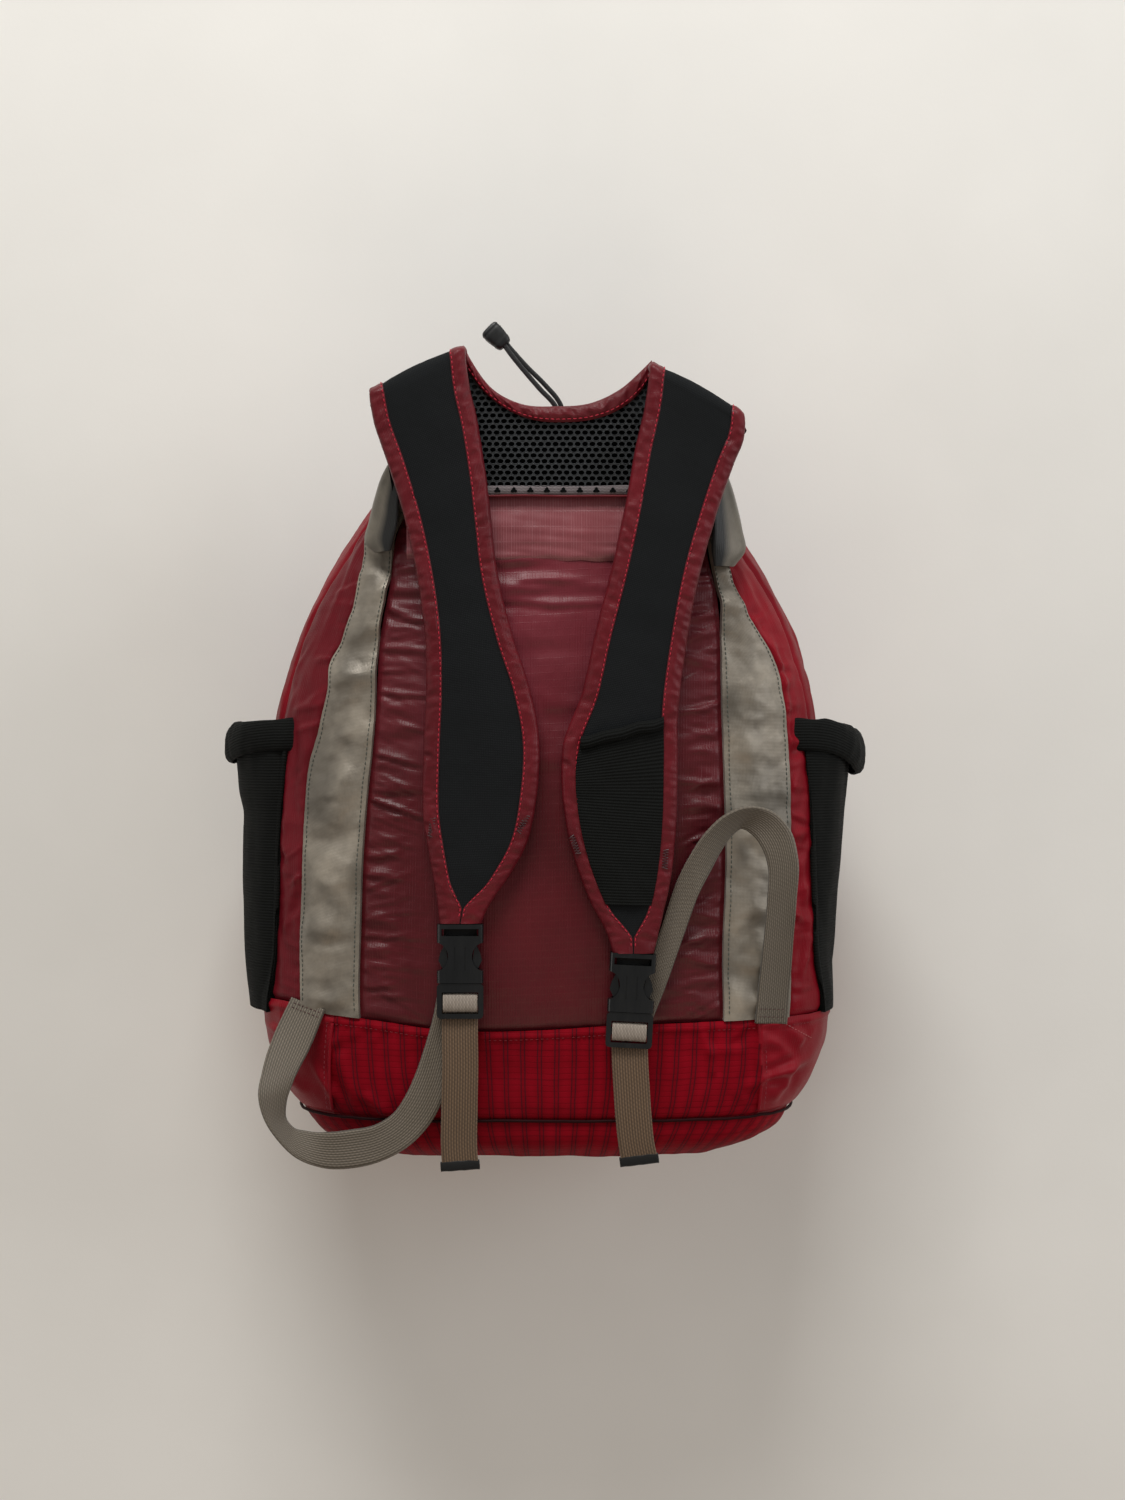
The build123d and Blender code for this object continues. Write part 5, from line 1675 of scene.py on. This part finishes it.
def strap_binding(hand, tag, edge, inward, normals, border, thickness, length, replaces):
    """Puckered binding round one edge; inward points from the edge across the strap."""
    seed = 1.0 if tag == "a" else -1.0
    rows = []
    for share in np.linspace(0, 1, steps(22)):
        if share < 0.5:                # from its inner front edge out to the strap's edge
            t = share / 0.5
            depth = border * (1 - t)
            height = (0.60 + 0.62 * math.sin(math.pi * min(1.0, t * 1.05)) ** 0.8
                      + 0.30 * (1 - t) - thickness * 0.10 * t ** 3)
        else:                          # round the edge to the back
            t = (share - 0.5) / 0.5
            depth = (border * max(0, (t - 0.55) / 0.45)
                     - 0.9 * np.sin(math.pi * min(1.0, t * 1.4)))
            height = (0.2 - thickness * 0.10 - thickness * 0.98 * smooth(0, 0.62, t)
                      - 0.3 * max(0, t - 0.55))
        pucker = (0.55 * ridge(length / 7.0, share * 2.0, 3.0 + seed)
                  + 0.40 * pnoise(length / 3.0, share * 2.4, 5.0 + seed)
                  + 0.35 * pnoise(length / 16.0, share * 3.0, 8.0 + seed))
        height = height + pucker * (0.50 + 0.85 * math.sin(math.pi * min(1, share * 1.3)))
        if 0.2 < share < 0.9:
            depth = depth + 0.30 * pnoise(length / 11, 0.3, 7.0 + seed)
        rows.append(edge + inward * depth[:, None] + normals * height[:, None])
    points = np.array(rows)
    body = f"strap_{hand}"
    dress(grid_object(f"strap_edge_{hand}_{tag}", points, metric_uv(points)[..., ::-1],
                      flip=tag == "b"), BINDING, body, replaces)
    line = edge + inward * (border - 0.9)[:, None] + normals * 1.35
    stitches(f"strap_stitch_{hand}_{tag}", line[15:-3], normals[15:-3], RED_THREAD,
             pitch=2.9, length=2.0, radius=0.30, body=body)


def strap(hand):
    """Padded strap; returns its edges, normals, binding width and length along it."""
    body = f"strap_{hand}"
    left, right, normals = strap_frame(hand)
    width = np.linalg.norm(right - left, axis=1)
    across = (right - left) / width[:, None]
    length = path_length((left + right) / 2)
    thickness = 4.0 + 2.6 * smooth(0, 30, length - length[FOLD_ROWS - 1])
    border = np.minimum(8.6 + 5.0 * smooth(26, 4, length[-1] - length), 0.5 * width - 0.35)

    # black cloth face and inner side, between the bindings
    share = np.linspace(0, 1, steps(48))
    depth = border[:, None] - 0.8 + (width - 2 * border + 1.6)[:, None] * share
    along = np.repeat(length[:, None], len(share), 1)
    crown = (1 - (2 * share - 1) ** 2) ** 0.7
    soft = 0.9 * pnoise(length / 34, 0.4, 6.0)[:, None] * np.sin(math.pi * share)
    fade = smooth(20, 46, width)[:, None]
    height = (0.5 + (1.3 * crown + soft) * fade + 0.45 * pnoise(depth / 18, along / 22, 2.0)
              + 0.10 * pnoise(depth / 4, along / 4, 3.0))
    uv = np.stack([depth, along], -1)
    flat = left[:, None] + across[:, None] * depth[..., None]
    dress(grid_object(f"strap_cloth_{hand}", flat + normals[:, None] * height[..., None], uv,
                      flip=True), STRAP, body,
          replaces=(f"strap_pad_{hand}", f"strap_face_{hand}"))
    height = -thickness[:, None] - 0.2 - 0.6 * crown * fade
    inner = flat + normals[:, None] * height[..., None]
    dress(grid_object(f"strap_back_{hand}", inner[FOLD_ROWS:], uv[FOLD_ROWS:]), STRAP, body)

    strap_binding(hand, "a", left, across, normals, border, thickness, length,
                  (f"strap_binding_{hand}",))
    strap_binding(hand, "b", right, -across, normals, border, thickness, length, ())

    # black webbing leaving the tip
    tip_x, _, tip_z = (left[-1] + right[-1]) / 2
    x = tip_x + np.linspace(-9.4, 9.4, 24)
    web = np.array([xyz(x, y, tip_z + dz) for y, dz in TIP_PROFILE])
    obj = grid_object(f"strap_tip_web_{hand}", web, metric_uv(web))
    solidify(obj, 0.8)
    dress(obj, BLACK_END, body)
    return left, right, normals, border, length


# distance below the fold, y
ANCHOR_PROFILE = [(3, -87.6), (6, -86.9), (12, -86.3), (20, -85.9), (30, -85.6)]


def strap_anchor(hand):
    """Sheet that carries on behind the fold, down on to the yoke."""
    left, right, away = fold_line(hand)
    share = np.linspace(0, 1, 24)[:, None]
    line = left * (1 - share) + right * share
    points = np.array([xyz(line[:, 0] - away[0] * drop, y, line[:, 1] - away[1] * drop)
                       for drop, y in ANCHOR_PROFILE])
    obj = grid_object(f"strap_anchor_{hand}", points, metric_uv(points))
    solidify(obj, 3.0, offset=1.0)
    dress(obj, STRAP, "pack")


# name, x, z, direction in radians, strap
TACKS = [
    ("tack_left_a", -64.5, 196, 1.45, "strap_left"),
    ("tack_left_b", -12.5, 198, 1.10, "strap_left"),
    ("tack_right_a", 17.0, 186, 1.95, "strap_right"),
    ("tack_right_b", 68.5, 178, 1.50, "strap_right")]


def bar_tack(name, x, z, angle, body, turns=14, length=11, width=3.2):
    """Zigzag thread on a binding."""
    k = np.arange(turns + 1)
    along = (k / turns - 0.5) * length
    across = np.where(k % 2, width / 2, -width / 2)
    c, s = math.cos(angle), math.sin(angle)
    tube(name, xyz(x + c * along - s * across, -101.2, z + s * along + c * across), 0.32,
         TACK_THREAD, sides=6, body=body)


def strap_pocket(left, right, normals, border, length):
    """Stretch pocket on the right strap, its mouth higher on the right, with a rolled hem."""
    low, high = 151, 246
    z = (left[:, 2] + right[:, 2]) / 2
    keep = (np.arange(len(left)) > 30) & (z < high) & (z > low)
    left, right, normals, z = left[keep], right[keep], normals[keep], z[keep, None]
    border, length = border[keep, None], length[keep, None]
    width = np.linalg.norm(right - left, axis=1)[:, None]
    share = np.linspace(0, 1, steps(44))
    depth = border - 1.2 + (width - 2 * border + 2.4) * share
    rise = (z - low) / (high - low)
    height = (1.9 + 1.9 * (1 - (2 * share - 1) ** 2) ** 0.7
              + 1.2 * smooth(0.6, 1.0, rise) * np.sin(math.pi * share)
              + 0.4 * pnoise(depth / 9, z / 12, 2.0))
    across = (right - left) / width
    points = (left[:, None] + across[:, None] * depth[..., None]
              + normals[:, None] * height[..., None])
    points[..., 2] += (share - 0.35) * 18.0 * smooth(0.55, 1.0, rise)
    uv = np.stack(np.broadcast_arrays(depth, length), -1)
    dress(grid_object("strap_pocket_cloth", points, uv, flip=True), STRETCH, "strap_right",
          replaces=("strap_pocket_right",))
    ripple = pnoise(np.linspace(0, 5, len(share)), 0.2, 1.0)
    hem = np.array([points[0] + xyz(0, -1.2 - 1.9 * math.cos(angle),
                                    1.8 + 3.6 * math.sin(angle) + ripple)
                    for angle in np.linspace(0, 2 * math.pi, 12)])
    dress(grid_object("strap_pocket_hem", hem, metric_uv(hem)), STRETCH, "strap_right")


strap("left")
right_strap = strap("right")
for _, hand in SIDES:
    strap_anchor(hand)
for tack in TACKS:
    bar_tack(*tack)
strap_pocket(*right_strap)


# ------------------------------------------------------------------ webbing
def ribbon(name, first_edge, second_edge, material, thickness, wobble, replaces):
    """Band between two edge lines; u runs across and v along."""
    count = steps(220)
    first, second = resample(first_edge, count), resample(second_edge, count)
    share = np.linspace(0, 1, 9)
    points = (first[:, None] * (1 - share)[None, :, None]
              + second[:, None] * share[None, :, None])
    length = np.repeat(path_length((first + second) / 2)[:, None], len(share), 1)
    height = (wobble * pnoise(length / 30, share * 1.5, 5.0)
              - 0.45 * (np.abs(share - 0.5) * 2) ** 6)
    points = points + grid_normals(points) * height[..., None]
    uv = np.stack(np.broadcast_arrays(share * 20.0, length), -1)
    obj = grid_object(name, points, uv)
    solidify(obj, thickness, offset=0.0)
    dress(obj, material, replaces=(replaces,))
    # The thickness is baked in.
    select_only([obj])
    bpy.ops.object.modifier_apply(modifier="thick")
    return obj


# x, z of both edges, from the end sewn to the bag to the strap; blend from and to, in metres
LOOPS = {
    "left": dict(
        y=-90.6, start=(-0.150, -0.09, 0.06), end=(-0.055, -0.09, 0.07),
        outer=[(-148.8, 94.5), (-157.4, 75.8), (-163.1, 55.1), (-164, 42), (-160.5, 29),
               (-152.5, 17), (-142, 6.5), (-126.9, -0.2), (-110.9, -0.2), (-94.8, 3.5),
               (-78.7, 12.3), (-66, 25.4), (-57.5, 42), (-51.5, 62), (-46.5, 82), (-43, 100)],
        inner=[(-127.9, 88.8), (-136.7, 66.8), (-144.7, 50.2), (-149.3, 37), (-149.3, 26.5),
               (-145, 21.5), (-136.7, 20), (-123, 20.6), (-110.9, 22), (-98, 24.5),
               (-88, 30.5), (-80.5, 41), (-74.5, 54), (-69.5, 68.5), (-64.5, 86),
               (-61.5, 102)]),
    "right": dict(
        y=-91.0, start=(0.132, -0.09, 0.12), end=(0.062, -0.09, 0.12),
        outer=[(141, 80), (142.8, 119), (144.3, 153), (144.8, 178), (140.3, 194.5),
               (129.5, 205.2), (115, 207.6), (103, 203), (92.5, 193.5), (84, 181),
               (76.6, 166.5), (66.9, 139), (56, 108), (50, 92)],
        inner=[(121.6, 81.5), (125.2, 120), (128, 154), (128.6, 171), (125.4, 182.5),
               (119.8, 191), (112.5, 195), (107, 191), (101.2, 182.5), (95, 171),
               (89.4, 160), (79.8, 134), (68.2, 101.5), (62, 86)])}
WEB_WIDTH = 20.5
LOOP_SEATING = [1.0, 0.5, 0.12]        # how closely the first points lie on the bag


def web_loop(hand, y, start, end, outer, inner):
    """Loop of webbing; where its edges come closer than its width it stands on edge."""
    first, second = [], []
    for k, ((outer_x, outer_z), (inner_x, inner_z)) in enumerate(zip(outer, inner)):
        width = math.hypot(outer_x - inner_x, outer_z - inner_z)
        tilt = math.sqrt(max(0.0, WEB_WIDTH ** 2 - width * width)) * 0.5
        tilt *= min(1.0, k / 3.0) * min(1.0, max(0, len(outer) - 4 - k) / 2.0)
        seat = LOOP_SEATING[k] if k < len(LOOP_SEATING) else 0.0
        for line, x, z, shift in ((first, outer_x, outer_z, -0.7 * tilt),
                                  (second, inner_x, inner_z, 0.5 * tilt)):
            bag_y = float(harness_point(x, z)[1]) - 2.6
            line.append((x, (y + shift) * (1 - seat) + bag_y * seat, z))
    name = f"web_loop_{hand}"
    obj = ribbon(name, first, second, WEBBING, thickness=1.5, wobble=0.5,
                 replaces=f"webbing_loop_{hand}")
    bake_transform(obj)
    first, second = np.array(first[:2]), np.array(second[:2])
    across = np.linspace(0.08, 0.92, 20)[:, None]
    for percent in (10, 22):
        left = first[0] + (first[1] - first[0]) * percent / 100
        right = second[0] + (second[1] - second[0]) * percent / 100
        stitches(f"{name}_sewn_{percent}", left + (right - left) * across + [0, -1.1, 0],
                 [0, -1, 0], DARK_THREAD, pitch=2.6, length=1.7, radius=0.22)


# x, y, z of the middle line from the latch down; tilt: how far each end corner is moved in z
TAILS = {
    "left": dict(tilt=0.7, middle=[
        (-48.6, -95.4, 90.5), (-48.7, -96.6, 80), (-48.5, -97, 60), (-48.9, -96.8, 35),
        (-49, -96.4, 10), (-48.6, -96.2, 4.4)]),
    "right": dict(tilt=1.2, middle=[
        (48.3, -95.4, 72.5), (48.6, -96.6, 62), (49.4, -97, 48), (50.6, -97.2, 30),
        (52.4, -97, 14), (53.6, -96.6, 7.6)])}
TAIL_HALF_WIDTH = 10.3


def web_tail(hand, tilt, middle):
    """Hanging webbing with a folded black end."""
    middle = np.array(middle)
    left, right = middle - [TAIL_HALF_WIDTH, 0, 0], middle + [TAIL_HALF_WIDTH, 0, 0]
    left[-1, 2] -= tilt
    right[-1, 2] += tilt
    obj = ribbon(f"web_tail_{hand}", left, right, TAIL_WEBBING, thickness=1.4, wobble=0.4,
                 replaces=f"webbing_tail_{hand}")
    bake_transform(obj)

    start, across = left[-1], right[-1] - left[-1]
    unit = across / np.linalg.norm(across)
    down = np.array([unit[2], 0, -unit[0]])
    share = np.linspace(-0.04, 1.04, 16)
    rows = []
    for j in range(13):
        angle = 2 * math.pi * j / 12
        drop = 2.34 * (1 - math.cos(angle)) - 0.4 + 0.25 * pnoise(share * 6, j * 0.3, 1.0)
        row = start + across * share[:, None] + down * drop[:, None]
        row[:, 1] -= 1.35 * math.sin(angle) + 0.3
        rows.append(row)
    points = np.array(rows)
    obj = grid_object(f"tail_tab_{hand}", points, metric_uv(points))
    dress(obj, BLACK_END, f"tail_{hand}", replaces=(f"tail_end_{hand}",))
    solidify(obj, 0.5)


def box_middle(name):
    low, high = (np.array(corner) * 1000 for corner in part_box(name))
    return (low + high) / 2


def web_wrap(hand, tilt):
    """Webbing over the latch's middle bar."""
    middle = box_middle(f"webbing_wrap_{hand}")
    x, angle = np.meshgrid(np.linspace(-9.8, 9.8, 40), np.linspace(0, math.pi, 16))
    y = -97.3 - 2.9 * np.sin(angle) ** 0.8 - 0.2 * pnoise(x / 3, angle, 1.0)
    z = 5.4 * np.cos(angle) + 0.2 * pnoise(x / 2, angle + 5, 2.0)
    c, s = math.cos(tilt), math.sin(tilt)
    points = xyz(x * c + z * s + middle[0], y, z * c - x * s + middle[2])
    obj = grid_object(f"web_wrap_{hand}", points, np.stack([x, angle * 4.5], -1), flip=True)
    dress(obj, LIGHT_WEBBING, f"latch_{hand}", replaces=(f"webbing_wrap_{hand}",))


for _, hand in SIDES:
    web_loop(hand, **LOOPS[hand])
for _, hand in SIDES:
    web_tail(hand, **TAILS[hand])
web_wrap("left", tilt=0.0)
web_wrap("right", tilt=math.radians(3.0))


# ------------------------------------------------------------------ carried-over CAD pieces
def moulded(obj, material, width=None, segments=2):
    """Gives a CAD piece its material and, if a width is given, bevelled edges."""
    dress(obj, material)
    if width:
        modifier = obj.modifiers.new("bevel", "BEVEL")
        modifier.width = width * MM
        modifier.segments = segments
        modifier.limit_method = "ANGLE"
        modifier.angle_limit = math.radians(35)


for name, obj in NODES.items():
    if name.startswith(("buckle_socket", "latch_frame", "latch_arm")):
        moulded(obj, ACETAL, width=0.45)
    elif "slider" in name:
        moulded(obj, SLIDER, width=0.3)
    elif name.startswith("zip_grip") or name == "front_pocket_pull":
        moulded(obj, GRIP, width=0.6, segments=3)

# ------------------------------------------------------------------ zip pulls
# name, hand, radius, samples, path from the slider to the grip, replaced pieces
PULL_CORDS = [
    ("pull_cord_right_a", "right", 1.6, 90,
     [(6.754, 5.518, 429.265), (9, -6, 443), (5.6, -9, 452), (-4, -10.5, 462.5),
      (-13.6, -11.5, 473.5), (-22.5, -12, 484.5), (-27, -11.6, 491)], ("zip_cord_right",)),
    ("pull_cord_right_b", "right", 1.55, 90,
     [(7.154, 8.418, 429.265), (11.4, -3, 443.6), (8.6, -6, 453.9), (-1, -8, 465.6),
      (-11.9, -9.6, 476.2), (-21.4, -10.4, 486.6), (-26, -10.4, 492)], ()),
    ("pull_cord_left_a", "left", 1.5, 60,
     [(-7.7, 6.655, 428.678), (-22, 8.6, 427.7), (-38, 10.1, 425.2), (-52, 12.6, 420.7)],
     ("zip_cord_left",))]

for name, hand, radius, count, path, replaced in PULL_CORDS:
    tube(name, resample(path, count), radius, CORD, sides=12, body=f"pull_{hand}",
         replaces=replaced)


def pull_grip(hand, along, across, size):
    """Moulded pull: a rounded block with finger ribs. size: length, width, thickness."""
    centre = box_middle(f"zip_grip_{hand}")
    along = np.array(along, float) / np.linalg.norm(along)
    across = np.array(across, float)
    across -= along * across.dot(along)
    across /= np.linalg.norm(across)
    third = np.cross(along, across)
    cols, rows = 40, 34

    def squared(value, power):
        return np.sign(value) * np.abs(value) ** power

    around = (2 * math.pi * np.arange(cols) / cols)[None, :, None]
    rise = (-math.pi / 2 + math.pi * np.arange(rows) / (rows - 1))[:, None, None]
    x = squared(np.cos(rise), 0.35) * squared(np.cos(around), 0.55)
    y = squared(np.cos(rise), 0.35) * squared(np.sin(around), 0.55)
    z = squared(np.sin(rise), 0.45)
    taper = 1 + 0.13 * z
    ribs = 1 - 0.05 * np.maximum(0.0, np.sin(z * 13)) * (np.abs(z) < 0.7)
    points = (centre + along * z * size[0] / 2
              + (across * x * size[1] + third * y * size[2]) / 2 * taper * ribs)
    uv = np.stack(np.meshgrid(np.arange(cols), np.arange(rows)), -1).astype(float)
    dress(grid_object(f"pull_grip_{hand}", points, uv, closed=True), GRIP, f"pull_{hand}",
          replaces=(f"zip_grip_{hand}",))


pull_grip("right", along=(-0.714, 0, 0.70), across=(0.7, 0, 0.714), size=(15.5, 12.0, 9.0))
pull_grip("left", along=(-1, 0.1, -0.3), across=(0, 0, 1), size=(15.5, 11.0, 8.5))


# ------------------------------------------------------------------ backdrop, light, camera
def paper():
    """Pale paper that lets shadow rays and views from behind through."""
    mat = Material("paper")
    cloud = mat.noise(scale=3, detail=4, roughness=0.6)
    grain = mat.noise(scale=220, detail=3, roughness=0.6)
    base = mat.mix(mat.remap(cloud), (0.74, 0.73, 0.70, 1), (0.80, 0.79, 0.76, 1))
    mat.finish(base, 0.85, grain, distance=0.0002, strength=0.3, specular=0.2)
    geometry = mat.node("ShaderNodeNewGeometry")
    clear = mat.node("ShaderNodeBsdfTransparent")
    mixer = mat.node("ShaderNodeMixShader")
    light_path = mat.node("ShaderNodeLightPath")
    hidden = mat.math("MAXIMUM", geometry.outputs["Backfacing"],
                      light_path.outputs["Is Shadow Ray"])
    mat.feed(hidden, mixer.inputs[0])
    mat.feed(mat.shader.outputs[0], mixer.inputs[1])
    mat.feed(clear.outputs[0], mixer.inputs[2])
    mat.feed(mixer.outputs[0], mat.output.inputs[0])
    return mat.material


def backdrop():
    """Upright sheet beyond the bag's front."""
    x, z = np.meshgrid(np.linspace(-4000, 4000, 24), np.linspace(-3500, 4200, 24))
    points = xyz(x, 122.0, z)
    obj = grid_object("backdrop", points, points[..., ::2])
    obj.data.materials.append(paper())


def area_light(name, location, target, size, power, colour, size_y=None):
    """Area light aimed at a target; places and sizes in metres, power in watts."""
    light = bpy.data.lights.new(name, "AREA")
    light.shape = "RECTANGLE" if size_y else "SQUARE"
    light.size = size
    if size_y:
        light.size_y = size_y
    light.energy = power
    light.color = colour
    obj = bpy.data.objects.new(name, light)
    bpy.context.scene.collection.objects.link(obj)
    obj.location = location
    obj.rotation_mode = "QUATERNION"
    obj.rotation_quaternion = (Vector(target) - Vector(location)).to_track_quat("-Z", "Y")


backdrop()
area_light("key", location=(-0.25, -1.15, 2.2), target=(0, 0, 0.25), size=1.1, size_y=0.8,
           power=43, colour=(1.0, 0.985, 0.955))
area_light("fill_right", location=(2.1, -1.1, 0.9), target=(0, 0, 0.25), size=1.2, power=18,
           colour=(0.97, 0.985, 1.0))
area_light("fill_left", location=(-2.1, -1.4, 0.4), target=(0, 0, 0.15), size=1.5, power=7,
           colour=(1.0, 0.96, 0.90))
area_light("low", location=(0.1, -1.5, -1.1), target=(0, 0, -0.15), size=1.2, power=5.4,
           colour=(1.0, 0.74, 0.50))
area_light("rear", location=(0.15, 2.3, 0.55), target=(0, 0, 0.25), size=1.6, power=30,
           colour=(1.0, 0.99, 0.97))

world = bpy.data.worlds.new("World")
bpy.context.scene.world = world
world.use_nodes = True
background = world.node_tree.nodes["Background"]
background.inputs["Color"].default_value = (0.80, 0.79, 0.77, 1)
background.inputs["Strength"].default_value = 0.28

camera = bpy.data.objects.new("cam", bpy.data.cameras.new("cam"))
bpy.context.scene.collection.objects.link(camera)
camera.data.lens = 46.3
camera.location = (0.010, -1.199, 0.240)
camera.rotation_euler = (math.radians(90), 0, 0)
bpy.context.scene.camera = camera
bpy.context.scene.view_settings.view_transform = "Standard"
bpy.context.scene.view_settings.look = "None"
